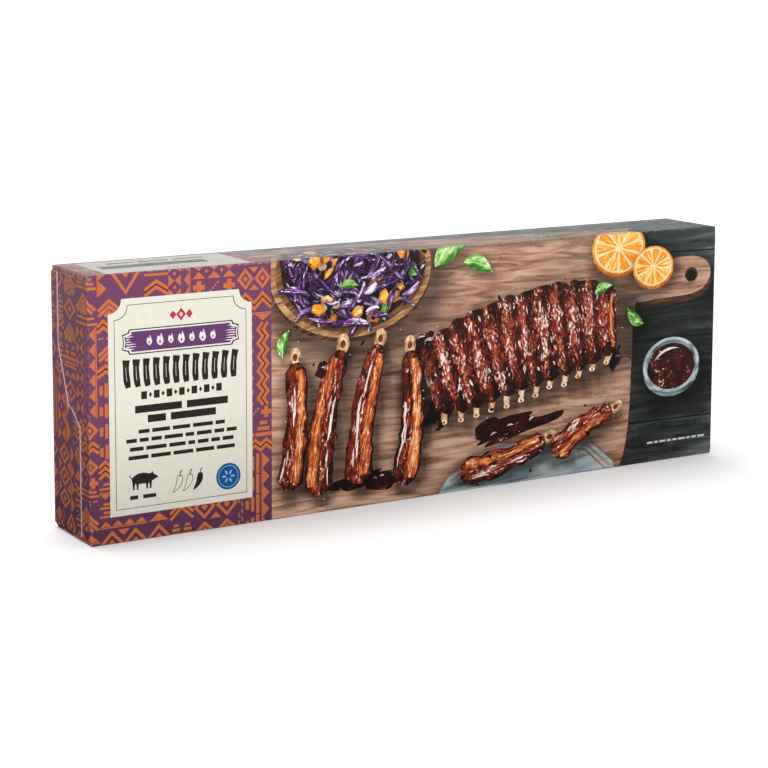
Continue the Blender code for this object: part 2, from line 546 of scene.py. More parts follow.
def smooth(points: Sequence[Point], steps: int = 5, closed: bool = True) -> Outline:
    """Draws a smooth curve through points.

    Args:
        points: The points that the curve passes through.
        steps: How many pieces each stretch is cut into.
        closed: Whether the curve comes back to its start.

    Returns:
        The curve's points.
    """
    count = len(points)
    stretches = count if closed else count - 1
    made = []
    for index in range(stretches):
        if closed:
            a, b, c, d = (points[(index + k) % count] for k in (-1, 0, 1, 2))
        else:
            a, b, c, d = (points[min(max(index + k, 0), count - 1)] for k in (-1, 0, 1, 2))
        for step in range(steps):
            t = step / steps
            made.append(tuple(
                0.5 * (2 * b[k] + (c[k] - a[k]) * t + (2 * a[k] - 5 * b[k] + 4 * c[k] - d[k]) * t * t
                       + (3 * b[k] - a[k] - 3 * c[k] + d[k]) * t ** 3)
                for k in (0, 1)
            ))
    if not closed:
        made.append(tuple(points[-1]))
    return made


def band(middle: Sequence[Point], left: Sequence[float], right: Sequence[float]) -> Outline:
    """Gives the outline of a band along a line.

    Args:
        middle: The line's points.
        left: How far the band reaches to the line's left at each point.
        right: How far it reaches to its right.

    Returns:
        The outline.
    """
    count = len(middle)
    one, other = [], []
    for index, (x, y) in enumerate(middle):
        before = middle[max(index - 1, 0)]
        after = middle[min(index + 1, count - 1)]
        into = Vector((x - before[0], y - before[1]))
        out = Vector((after[0] - x, after[1] - y))
        into = into.normalized() if into.length else out.normalized()
        out = out.normalized() if out.length else into
        way = (into + out).normalized() if (into + out).length > 1e-6 else into
        reach = 1 / max(math.sqrt(max((1 + into.dot(out)) / 2, 0.0)), 0.4)
        one.append((x - way.y * left[index] * reach, y + way.x * left[index] * reach))
        other.append((x + way.y * right[index] * reach, y - way.x * right[index] * reach))
    return one + other[::-1]


def stroke(points: Sequence[Point], width: float) -> Outline:
    """Gives the outline of an even line through points."""
    half = [width / 2] * len(points)
    return band(points, half, half)


def arc_line(start: Point, end: Point, bend: float, count: int = 10) -> Outline:
    """Gives points along a gentle bow from one point to another.

    Args:
        start: The first point.
        end: The last point.
        bend: How far the bow's middle lies to the left of the straight line.
        count: How many stretches it has.

    Returns:
        The points.
    """
    way = Vector(end) - Vector(start)
    side = Vector((-way.y, way.x)).normalized()
    points = []
    for step in range(count + 1):
        t = step / count
        spot = Vector(start) + way * t + side * bend * 4 * t * (1 - t)
        points.append((spot.x, spot.y))
    return points


def is_clockwise(outline: Outline) -> bool:
    """Says whether an outline runs clockwise."""
    pairs = zip(outline, outline[1:] + outline[:1])
    return sum(ax * by - bx * ay for (ax, ay), (bx, by) in pairs) < 0


def swell(count: int, edge: float, power: float = 1.0) -> list[float]:
    """Gives widths, of one at the most, that rise and fall along a line as a sine does."""
    return [math.sin(math.pi * min(max((k / count) ** power, edge), 1 - edge)) for k in range(count + 1)]


@dataclass(frozen=True)
class Strand:
    """A band along a line, with places of its own: how far along it, and how far across it."""

    line: Sequence[Point]
    left: Sequence[float]
    right: Sequence[float]

    def outline(self) -> Outline:
        """Gives its outline."""
        return band(self.line, self.left, self.right)

    def local(self, places: np.ndarray) -> np.ndarray:
        """Gives its own places: zero to one along it, and one at its left edge to minus one at its right.

        Args:
            places: Places on the blank, one to a row.

        Returns:
            The places along it and across it, one to a row.
        """
        nodes = np.array(self.line, float)
        start, way = nodes[:-1], np.diff(nodes, axis=0)
        off = places[:, None] - start[None]
        share = np.clip((off * way).sum(2) / (way ** 2).sum(1), 0.0, 1.0)
        apart = ((off - way * share[..., None]) ** 2).sum(2)
        pick = apart.argmin(1)
        rows = np.arange(len(places))
        along = pick + share[rows, pick]
        side = way[pick, 0] * off[rows, pick, 1] - way[pick, 1] * off[rows, pick, 0]
        distance = np.sqrt(apart[rows, pick]) * np.sign(side)
        count = np.arange(len(nodes))
        left, right = np.interp(along, count, self.left), np.interp(along, count, self.right)
        across = (2 * distance - left + right) / np.maximum(left + right, 0.05)
        return np.stack([along / (len(nodes) - 1), across], 1)

    def gap(self, places: np.ndarray) -> np.ndarray:
        """Gives how far outside it each place lies.

        Args:
            places: Places on the blank, one to a row.

        Returns:
            The distances, in millimetres.
        """
        along, across = self.local(places).T
        count = np.linspace(0, 1, len(self.line))
        half = np.interp(along, count, [(a + b) / 2 for a, b in zip(self.left, self.right)])
        return np.maximum(np.abs(across) - 1, 0) * half


@dataclass(frozen=True)
class Disc:
    """An ellipse, with places of its own that run from minus one to one both ways."""

    centre: Point
    wide: float
    high: float
    turn: float = 0.0

    def outline(self, count: int = 40) -> Outline:
        """Gives its outline."""
        return ring(self.centre, self.wide, self.high, count, self.turn)

    def at(self, angle: float, out: float) -> Point:
        """Gives the place at an angle and a share of the way out, for an ellipse that isn't turned."""
        x, v = self.centre
        return (x + self.wide * out * math.cos(angle), v + self.high * out * math.sin(angle))

    def shrunk(self, share: float, lift: float = 0.0) -> "Disc":
        """Gives a smaller ellipse about the same middle, lifted by a distance."""
        return Disc((self.centre[0], self.centre[1] + lift), self.wide * share, self.high * share, self.turn)

    def local(self, places: np.ndarray) -> np.ndarray:
        """Gives its own places.

        Args:
            places: Places on the blank, one to a row.

        Returns:
            The places along it and across it, one to a row.
        """
        cos, sin = math.cos(self.turn), math.sin(self.turn)
        x, v = (places - np.array(self.centre)).T
        return np.stack([(x * cos + v * sin) / self.wide, (v * cos - x * sin) / self.high], 1)

    def gap(self, places: np.ndarray) -> np.ndarray:
        """Gives how far outside it each place lies, in millimetres, nearly."""
        return np.maximum(np.hypot(*self.local(places).T) - 1, 0) * (self.wide + self.high) / 2


Form = Strand | Disc


@dataclass(frozen=True)
class Field:
    """One field of ink on the flat blank.

    Attributes:
        outline: Its outline.
        ink: Its ink.
        grain: The way its grain runs, in radians.
        tone: How light it is, from zero to one.
        form: The form that its shading follows, where it has one.
        level: How many of the sheet's shadows lie under it; one that is -1 takes no shadow.
    """

    outline: Outline
    ink: Ink
    grain: float = 0.0
    tone: float = 0.5
    form: Form | None = None
    level: int = -1


@dataclass(frozen=True)
class Shadow:
    """A soft pictured shadow.

    Attributes:
        form: The form that casts it.
        strength: How dark it is.
        reach: How far it fades out, in millimetres.
        shift: How far it falls beside the form.
    """

    form: Form
    strength: float
    reach: float
    shift: Point

    def light(self, places: np.ndarray) -> np.ndarray:
        """Gives how much light is left at each place, from zero to one."""
        gap = self.form.gap(places - np.array(self.shift))
        return 1 - self.strength * np.exp(-((gap / self.reach) ** 2))


@dataclass
class Sheet:
    """The flat blank's print: fields of ink, each laid over those before it, and pictured shadows."""

    fields: list[Field] = field(default_factory=list)
    shadows: list[Shadow] = field(default_factory=list)

    def lay(self, outline: Outline, ink: Ink, grain: float = 0.0, tone: float = 0.5,
            form: Form | None = None, level: int = -1) -> None:
        """Lays one field, given by the values of a Field, with its outline turned anticlockwise."""
        turned = outline[::-1] if is_clockwise(outline) else outline
        self.fields.append(Field(turned, ink, grain, tone, form, level))


@dataclass
class Swatch:
    """A rectangle of the blank with its own directions, and the traditional woven motifs that can fill it.

    Attributes:
        corner: Its lower left corner on the blank.
        length: How long it is.
        height: How wide it is across.
        upright: Whether its length runs up the blank.
        rng: Where its random draws come from.
        line: How wide the motifs' lines are.
    """

    sheet: Sheet
    corner: Point
    length: float
    height: float
    upright: bool
    rng: random.Random
    line: float = 1.6

    def lay(self, outline: Outline, ink: Ink = Ink.ORANGE) -> None:
        """Lays a field.

        Args:
            outline: Its outline, along and across the swatch.
            ink: Its ink.
        """
        x, v = self.corner
        if self.upright:
            outline = [(x + self.height - t, v + s) for s, t in outline]
        else:
            outline = [(x + s, v + t) for s, t in outline]
        self.sheet.lay(outline, ink)

    def steps(self, pitch: float) -> Iterator[tuple[float, float]]:
        """Divides the length into whole steps.

        Args:
            pitch: About how long a step is.

        Returns:
            Each step's start and length.
        """
        count = max(1, round(self.length / pitch))
        size = self.length / count
        for index in range(count):
            yield index * size, size

    def lozenges(self) -> None:
        """Draws a row of nested lozenges with small triangles between them."""
        high = self.height
        double = self.rng.random() < 0.45 and high > 13
        for start, size in self.steps(high * 0.95):
            middle = (start + size / 2, high / 2)
            wide, tall, thin = size / 2 * 0.98, high / 2 * 0.98, self.line * 1.35
            for step, ink in ((0.0, Ink.ORANGE), (1.0, Ink.PURPLE), (1.9, Ink.ORANGE), (2.8, Ink.PURPLE)):
                if step < 1.5 or double:
                    self.lay(lozenge(middle, wide - step * thin, tall - step * thin), ink)
            heart = 0.17 if double else 0.3
            self.lay(lozenge(middle, wide * heart, tall * heart))
            tip = high * 0.24
            for edge, way in ((0.0, 1), (high, -1)) if start else ():
                self.lay([(start - tip, edge), (start + tip, edge), (start, edge + way * tip)])

    def zigzag(self) -> None:
        """Draws two or three zigzag lines one over another, with thin dark lines between them."""
        lines = self.rng.choice((2, 2, 3)) if self.height > 8 else 2
        gap = self.line * 1.75
        swing = max(self.height - (lines - 1) * gap - self.line * 1.5, 2.5)
        points = [(0.0, 0.0)]
        for start, size in self.steps(swing * 1.5 + 3):
            points += [(start + size / 2, swing), (start + size, 0.0)]
        for line in range(lines):
            lifted = [(s, t + line * gap + self.line * 0.8) for s, t in points]
            self.lay(stroke(lifted, self.line))
            if line:
                self.lay(stroke([(s, t - gap / 2) for s, t in lifted], self.line * 0.4), Ink.MAROON)

    def teeth(self) -> None:
        """Draws a row of triangles on a thin line, pointing up or down."""
        down = self.rng.random() < 0.5
        low, high = (0.9, self.height) if down else (0.0, self.height - 0.9)
        for start, size in self.steps(self.height * 1.5):
            base, tip = (high - 0.9, low) if down else (low + 0.9, high)
            self.lay([(start + 0.2, base), (start + size - 0.2, base), (start + size / 2, tip)])
        edge = self.height - 0.7 if down else 0.0
        self.lay(box(0, edge, self.length, edge + 0.6))

    def mounds(self) -> None:
        """Draws stepped mounds of stacked bars."""
        rows = 3 if self.height < 9 else 4
        pitch = self.height / rows
        for start, size in self.steps(self.height * 1.2):
            for row in range(rows):
                half = size * 0.47 * (1 - row / (rows + 0.8))
                middle, foot = start + size / 2, row * pitch + 0.3
                self.lay(box(middle - half, foot, middle + half, foot + 0.64 * pitch))

    def dashes(self) -> None:
        """Draws staggered rows of short, leaning dashes."""
        rows = max(1, round(self.height / 2.1))
        for row in range(rows):
            up = (row + 0.5) * self.height / rows
            for start, size in self.steps(3.8):
                left = start + size * 0.5 * (row % 2) + 0.3
                right = left + size * 0.68
                dash = [(left, up - 0.4), (right, up - 0.05), (right, up + 0.75), (left, up + 0.4)]
                if self.rng.random() < 0.88 and right < self.length:
                    self.lay(dash, Ink.ROSE)

    def crosses(self) -> None:
        """Draws crosses with a run of dots between them."""
        arm = self.height * 0.46
        thick = arm * 0.38
        corner = [(thick, arm), (thick, thick), (arm, thick)]
        quarters = ((1, 0), (0, -1), (-1, 0), (0, 1))
        for index, (start, size) in enumerate(self.steps(self.height * 1.05)):
            x, y = start + size / 2, self.height / 2
            if index % 2 == 0:
                turned = [(a * p - b * q, a * q + b * p) for p, q in quarters for a, b in corner]
                self.lay([(x + a, y + b) for a, b in turned])
                continue
            for step in (-1.5, -0.5, 0.5, 1.5):
                self.lay(lozenge((x + step * arm * 0.42, y + step * arm * 0.42), 0.75, 0.75), Ink.ROSE)

    def arrows(self) -> None:
        """Draws nested arrowheads over a small triangle."""
        for start, size in self.steps(self.height * 1.25):
            middle, half = start + size / 2, size * 0.46
            self.lay([(middle - half * 0.4, 0.0), (middle + half * 0.4, 0.0), (middle, half * 0.36)])
            for level in range(3):
                top = self.height - self.line * (0.7 + 1.7 * level)
                reach = min(half, (top - 0.5) / 0.85)
                foot = top - reach * 0.85
                if reach > 2.0:
                    head = [(middle - reach, foot), (middle, top), (middle + reach, foot)]
                    self.lay(stroke(head, self.line * 0.95))

    def glasses(self) -> None:
        """Draws hourglasses, with a dot between each two."""
        high = self.height
        for start, size in self.steps(high * 0.95):
            x, half = start + size / 2, size * 0.43
            for edge, tip in ((0.2, 0.48), (high - 0.2, 0.52)):
                self.lay([(x - half, edge), (x + half, edge), (x, high * tip)])
            if start:
                self.lay(lozenge((start, high / 2), 1.0, 1.0), Ink.ROSE)

    def rules(self) -> None:
        """Draws two or three plain bars."""
        rows = max(2, round(self.height / 2.4))
        for row in range(rows):
            up, short = (row + 0.5) * self.height / rows, 0.08 * self.length * (row % 2)
            self.lay(box(short, up - 0.6, self.length - short, up + 0.6))


@dataclass
class PatternPrint:
    """The woven pattern: patches of unlike width, each filled with bands of traditional motifs.

    Attributes:
        seed: Where its random draws start.
        widths: How wide the patches may be.
        blocks: How high the blocks of a patch may be.
        upright: How often the first block of a patch stands upright, and how often each later choice does.
        filled: How much of a band its motif fills across.
        bands: The motifs, each with the least and the greatest width of its band.
    """

    sheet: Sheet
    seed: int
    widths: tuple[float, ...] = (13.0, 16.0, 20.0, 26.0)
    blocks: tuple[float, ...] = (24.0, 32.0, 41.0)
    upright: tuple[float, float] = (0.35, 0.4)
    filled: float = 0.92
    bands: tuple[tuple[Callable[[Swatch], None], float, float], ...] = (
        (Swatch.lozenges, 12.0, 17.0),
        (Swatch.zigzag, 8.0, 12.5),
        (Swatch.teeth, 4.6, 7.0),
        (Swatch.mounds, 7.0, 10.0),
        (Swatch.dashes, 2.4, 4.6),
        (Swatch.crosses, 6.5, 8.5),
        (Swatch.arrows, 9.0, 13.0),
        (Swatch.lozenges, 8.0, 12.0),
        (Swatch.glasses, 7.0, 10.0),
        (Swatch.rules, 4.0, 6.0),
        (Swatch.zigzag, 7.0, 9.0),
    )

    def __post_init__(self) -> None:
        """Starts the pattern's own random draws."""
        self.rng = random.Random(self.seed)

    def fill(self, left: float, low: float, right: float, high: float) -> None:
        """Fills a rectangle of the blank with the ground and the patches.

        Args:
            left: Its lowest x.
            low: Its lowest v.
            right: Its highest x.
            high: Its highest v.
        """
        self.sheet.lay(box(left, low, right, high), Ink.PURPLE)
        for start, width in self.divide(right - left, self.widths):
            self.fill_patch((left + start, low), width, high - low)

    def divide(self, length: float, sizes: Sequence[float]) -> list[tuple[float, float]]:
        """Divides a length into random sizes that fit it exactly.

        Args:
            length: The whole length.
            sizes: The sizes to pick from, before they are fitted.

        Returns:
            Each part's start and size.
        """
        picked = []
        while sum(picked) < length - min(sizes) / 2:
            picked.append(self.rng.choice(sizes))
        scale = length / sum(picked)
        places, start = [], 0.0
        for size in picked:
            places.append((start, size * scale))
            start += size * scale
        return places

    def fill_patch(self, corner: Point, width: float, height: float) -> None:
        """Fills one patch, in blocks whose bands lie level or stand upright.

        Args:
            corner: Its lower left corner.
            width: Its width.
            height: Its height.
        """
        left, low = corner
        upright = self.rng.random() < self.upright[0]
        for start, size in self.divide(height, self.blocks):
            across = upright
            upright = self.rng.random() < self.upright[1]
            long, high = (size, width) if across else (width, size)
            for up, tall, motif in self.stack(high):
                spot = (left + width - up - tall, low + start) if across else (left, low + start + up)
                motif(Swatch(self.sheet, spot, long, tall * self.filled, across, self.rng))

    def stack(self, height: float) -> list[tuple[float, float, Callable[[Swatch], None]]]:
        """Picks bands that fill a height exactly, with none twice in a row.

        Args:
            height: The height.

        Returns:
            Each band's start, width and motif.
        """
        picked: list[tuple[tuple, float]] = []
        while (room := height - sum(size for _, size in picked)) > 2.5:
            last = picked[-1][0] if picked else None
            fitting = [band for band in self.bands if band[1] <= room * 1.3 and band is not last]
            if not fitting:
                break
            chosen = self.rng.choice(fitting)
            picked.append((chosen, self.rng.uniform(chosen[1], chosen[2])))
        scale = height / sum(size for _, size in picked)
        placed, up = [], 0.0
        for (motif, _, _), size in picked:
            placed.append((up, size * scale, motif))
            up += size * scale
        return placed


def lay_ornament(sheet: Sheet, middle: Point, gap: float, small: float, large: float) -> None:
    """Lays a red ornament: a large lozenge between two small ones, a gap away from it."""
    for shift, size in ((-gap, small), (0.0, large), (gap, small)):
        sheet.lay(lozenge((middle[0] + shift, middle[1]), size * 0.8, size), Ink.RED)


@dataclass
class LabelPrint:
    """The cream label on the front: a notched frame with plain ornaments and bars where a pack has words.

    Attributes:
        left: Its lowest x, beside its highest x, its lowest v and its highest v.
        notch: How deep its hollow corners are.
        frame_line: How far in its thin line lies, from the outer edge to the inner one.
        emblem_v: How high its ornament's middle is, as are the next three.
        headings: Its rows of heavy bars, as (v, lengths).
        small_rows: The lengths of its rows of thin bars, from the top one down.
        small_v: How high the top one of them is, with the step from row to row.
        seed: Where its random draws start.
    """

    sheet: Sheet
    left: float = -LENGTH / 2 + 10.8
    right: float = -LENGTH / 2 + 86.5
    low: float = 13.1
    high: float = 117.5
    notch: float = 7.2
    frame_line: tuple[float, float] = (3.0, 3.3)
    emblem_v: float = 107.8
    banner_v: float = 96.6
    ribs_v: float = 81.4
    beads_v: float = 70.4
    headings: tuple[tuple[float, tuple[float, ...]], ...] = ((63.8, (24.5, 22.0)), (58.8, (9.5, 24.0)))
    small_rows: tuple[float, ...] = (50.0, 58.5, 55.0, 56.5)
    small_v: tuple[float, float] = (53.0, 4.15)
    seed: int = 11

    def __post_init__(self) -> None:
        """Finds the label's middle."""
        self.middle = (self.left + self.right) / 2

    def outline(self, inset: float) -> Outline:
        """Gives the label's outline: square below, with hollow round corners above.

        Args:
            inset: How far it is drawn in.

        Returns:
            The outline.
        """
        left, right = self.left + inset, self.right - inset
        low, high = self.low + inset, self.high - inset
        radius, step = self.notch - 0.7, 0.7
        points = [(left, low), (right, low)]
        for side, x in ((-1, right), (1, left)):
            arc = []
            for index in range(9):
                angle = math.pi / 2 * index / 8
                arc.append((x + side * (step + radius * math.sin(angle)) - side * step,
                            high - radius * math.cos(angle)))
            arc = [(x, high - radius - step)] + [(px + side * step * 0.4, pv - step * 0.4) for px, pv in arc]
            arc.append((x + side * (radius + step), high))
            points += arc if side == -1 else arc[::-1]
        return points

    def draw(self) -> None:
        """Draws the whole label."""
        self.sheet.lay(self.outline(0.0), Ink.CREAM)
        self.sheet.lay(self.outline(self.frame_line[0]), Ink.CHARCOAL)
        self.sheet.lay(self.outline(self.frame_line[1]), Ink.CREAM)
        lay_ornament(self.sheet, (self.middle, self.emblem_v), 4.3, 2.2, 3.2)
        self.sheet.lay(lozenge((self.middle, self.emblem_v), 1.0, 1.3), Ink.CREAM)
        self.banner()
        self.rib_row()
        self.bead_row()
        for v, lengths in self.headings:
            self.bars((self.middle, v), lengths, 3.6, 2.6)
        self.small_print()
        self.pig((self.left + 17.4, 28.2))
        self.bars((self.left + 17.0, 21.2), (4.2, 6.8), 1.9, 2.6)
        for index in range(3):
            self.chilli((self.left + 34.6 + index * 5.4, 25.6), index < 2)
        self.roundel((self.right - 13.2, 25.4))

    def rib_row(self) -> None:
        """Draws a plain figure of a rack: a row of dark, bowed bars with pale hearts."""
        count, pitch, tall = 12, 5.15, 13.4
        rng = random.Random(self.seed)
        for index in range(count):
            from_middle = index - (count - 1) / 2
            start, lean = self.middle + from_middle * pitch, from_middle * 0.09
            line = arc_line((start - lean, self.ribs_v - tall / 2), (start + lean, self.ribs_v + tall / 2),
                            0.55, 8)
            wide = [1.28, 1.6, 1.72, 1.7, 1.62, 1.55, 1.6, 1.75, 1.9]
            wide = [w * rng.uniform(0.95, 1.04) for w in wide]
            self.sheet.lay(band(line, wide, wide), Ink.CHARCOAL)
            self.sheet.lay(stroke(line[2:7], 0.22), Ink.CREAM)

    def bead_row(self) -> None:
        """Draws a short row of dark blocks with small lozenges between them."""
        for index in range(-6, 7):
            x, v = self.middle + index * 3.3, self.beads_v
            bead = lozenge((x, v), 0.9, 1.3) if index % 2 else box(x - 1.5, v - 1.9, x + 1.5, v + 1.9)
            self.sheet.lay(bead, Ink.CHARCOAL)

    def banner(self) -> None:
        """Draws the violet banner: stepped ends, a white line, brush marks and a row of small flames."""
        for inset, ink in ((0.0, Ink.CHARCOAL), (0.55, Ink.WHITE), (1.25, Ink.VIOLET)):
            wide, tall = 30.8 - inset, 6.1 - inset
            one_end = [(wide - 3.6, -tall), (wide - 2.9, -tall + 1.6), (wide, -tall + 2.4),
                       (wide - 0.5, 0.0), (wide, tall - 2.4), (wide - 2.9, tall - 1.6), (wide - 3.6, tall)]
            both = one_end + [(-a, b) for a, b in one_end[::-1]]
            self.sheet.lay([(self.middle + a, self.banner_v + b) for a, b in both], ink)
        rng = random.Random(self.seed + 1)
        for side in (-1, 1):
            for index in range(7):
                up = self.banner_v - 3.6 + index * 1.2
                reach = rng.uniform(2.0, 6.5)
                start = self.middle + side * 28.6
                line = [(start, up), (start - side * reach * 0.6, up + 0.1), (start - side * reach, up)]
                self.sheet.lay(band(line, [0.28, 0.22, 0.05], [0.28, 0.22, 0.05]), Ink.WHITE)
        for index in range(-3, 4):
            self.flame((self.middle + index * 5.6, self.banner_v), 1.0 if index % 2 else 1.25)

    def flame(self, middle: Point, size: float) -> None:
        """Draws one white flame with a violet heart.

        Args:
            middle: Its middle.
            size: How large it is.
        """
        x, v = middle
        shape = [(0.0, -2.3), (1.35, -1.2), (1.2, 0.5), (0.35, 2.5), (0.15, 1.0), (-0.8, 1.5), (-1.4, -0.6)]
        self.sheet.lay(smooth([(x + a * size, v + b * size) for a, b in shape], 4), Ink.WHITE)
        self.sheet.lay(lozenge((x, v - 0.9 * size), 0.45 * size, 0.8 * size), Ink.VIOLET)

    def bars(self, middle: Point, lengths: Sequence[float], tall: float, gap: float) -> None:
        """Draws one row of bars, centred.

        Args:
            middle: The row's middle.
            lengths: How long each bar is.
            tall: How high they are.
            gap: How far apart they are.
        """
        start = middle[0] - (sum(lengths) + gap * (len(lengths) - 1)) / 2
        foot, head = middle[1] - tall / 2, middle[1] + tall / 2
        for length in lengths:
            self.sheet.lay(box(start, foot, start + length, head), Ink.CHARCOAL)
            start += length + gap

    def small_print(self) -> None:
        """Draws the rows of thin bars of unlike lengths."""
        rng = random.Random(self.seed + 2)
        gap = 1.4
        for row, wide in enumerate(self.small_rows):
            lengths: list[float] = []
            while sum(lengths) + gap * len(lengths) < wide - 3:
                lengths.append(min(rng.uniform(3.5, 12.0), wide - sum(lengths) - gap * len(lengths)))
            self.bars((self.middle, self.small_v[0] - row * self.small_v[1]), lengths, 1.9, gap)

    def roundel(self, middle: Point) -> None:
        """Draws the plain blue disc with a thin pale ring and six petals.

        Args:
            middle: Its middle.
        """
        for radius, count, ink in ((6.65, 40, Ink.BLUE), (5.5, 36, Ink.PALE_BLUE), (5.15, 36, Ink.BLUE)):
            self.sheet.lay(ring(middle, radius, radius, count), ink)
        for turn in range(6):
            angle = math.pi / 3 * turn
            spot = (middle[0] + 2.3 * math.cos(angle), middle[1] + 2.3 * math.sin(angle))
            self.sheet.lay(ring(spot, 1.25, 0.55, 12, angle), Ink.PALE_BLUE)

    def pig(self, middle: Point) -> None:
        """Draws a plain pig from the side, facing right.

        Args:
            middle: The place between its legs, at its belly.
        """
        x, v = middle
        body = [(-5.6, 3.0), (-3.0, 4.4), (0.2, 4.6), (2.8, 4.0), (4.0, 4.2), (4.5, 5.0), (5.0, 3.9),
                (6.1, 2.9), (7.2, 2.4), (7.4, 1.5), (6.3, 1.2), (5.2, 0.6), (3.9, 0.1), (2.2, -0.5),
                (-1.2, -0.7), (-3.4, -0.3), (-5.4, 0.2), (-6.3, 1.6)]
        self.sheet.lay(smooth([(x + a, v + b) for a, b in body], 4), Ink.CHARCOAL)
        for foot, lean in ((-5.0, -0.3), (-3.4, 0.2), (1.9, -0.2), (3.3, 0.3)):
            leg = [(x + foot, v + 0.6), (x + foot + lean, v - 1.6), (x + foot + lean * 0.6, v - 3.4)]
            self.sheet.lay(band(leg, [1.0, 0.55, 0.42], [1.0, 0.55, 0.42]), Ink.CHARCOAL)
        tail = [(x - 6.0, v + 2.4), (x - 7.0, v + 3.0), (x - 7.2, v + 3.9), (x - 6.7, v + 3.7)]
        self.sheet.lay(stroke(smooth(tail, 4, False), 0.4), Ink.CHARCOAL)

    def chilli(self, middle: Point, hollow: bool) -> None:
        """Draws one chilli pod.

        Args:
            middle: Its middle.
            hollow: Whether it is an outline alone.
        """
        x, v = middle
        spine = [(x + 1.9, v + 3.6), (x + 1.7, v + 1.2), (x + 0.6, v - 1.6), (x - 1.9, v - 4.6)]
        line = smooth(spine, 4, False)
        wide = [0.5 + 1.15 * math.sin(math.pi * min(1.0, (k + 2) / len(line))) for k in range(len(line))]
        wide[-1] = 0.05
        self.sheet.lay(band(line, wide, wide), Ink.CHARCOAL)
        if hollow:
            thin = [max(w - 0.3, 0.02) for w in wide]
            self.sheet.lay(band(line[1:-1], thin[1:-1], thin[1:-1]), Ink.CREAM)
        stalk = smooth([(x + 1.9, v + 3.4), (x + 2.1, v + 5.0), (x + 3.0, v + 6.0)], 4, False)
        self.sheet.lay(stroke(stalk, 0.5), Ink.CHARCOAL)


@dataclass
class SmallLabel:
    """A plain cream field with bars and an ornament, for the top, the back and the bottom.

    Attributes:
        left: Its lowest x, beside its lowest v, its highest x and its highest v.
        flipped: Whether it is read the other way up.
        seed: Where its random draws start.
    """

    sheet: Sheet
    left: float
    low: float
    right: float
    high: float
    flipped: bool = False
    seed: int = 5

    def turn(self, v: float) -> float:
        """Turns a height upside down where the panel is read the other way up."""
        return self.low + self.high - v if self.flipped else v

    def draw(self, rows: Sequence[tuple[float, float, float]], ornament: bool = True) -> None:
        """Draws the field.

        Args:
            rows: The rows of bars, as their v, height and whole length.
            ornament: Whether a red ornament stands under the rows.
        """
        self.sheet.lay(box(self.left, self.low, self.right, self.high), Ink.CREAM)
        rng = random.Random(self.seed)
        middle = (self.left + self.right) / 2
        for v, tall, whole in rows:
            foot, head = self.turn(v) - tall / 2, self.turn(v) + tall / 2
            start = middle - whole / 2
            while start < middle + whole / 2 - tall:
                length = min(rng.uniform(2.2, 6.5) * tall, middle + whole / 2 - start)
                self.sheet.lay(box(start, foot, start + length, head), Ink.CHARCOAL)
                start += length + tall * 0.75
        if ornament:
            lay_ornament(self.sheet, (middle, self.turn(self.low + 5.2)), 3.6, 1.8, 2.6)


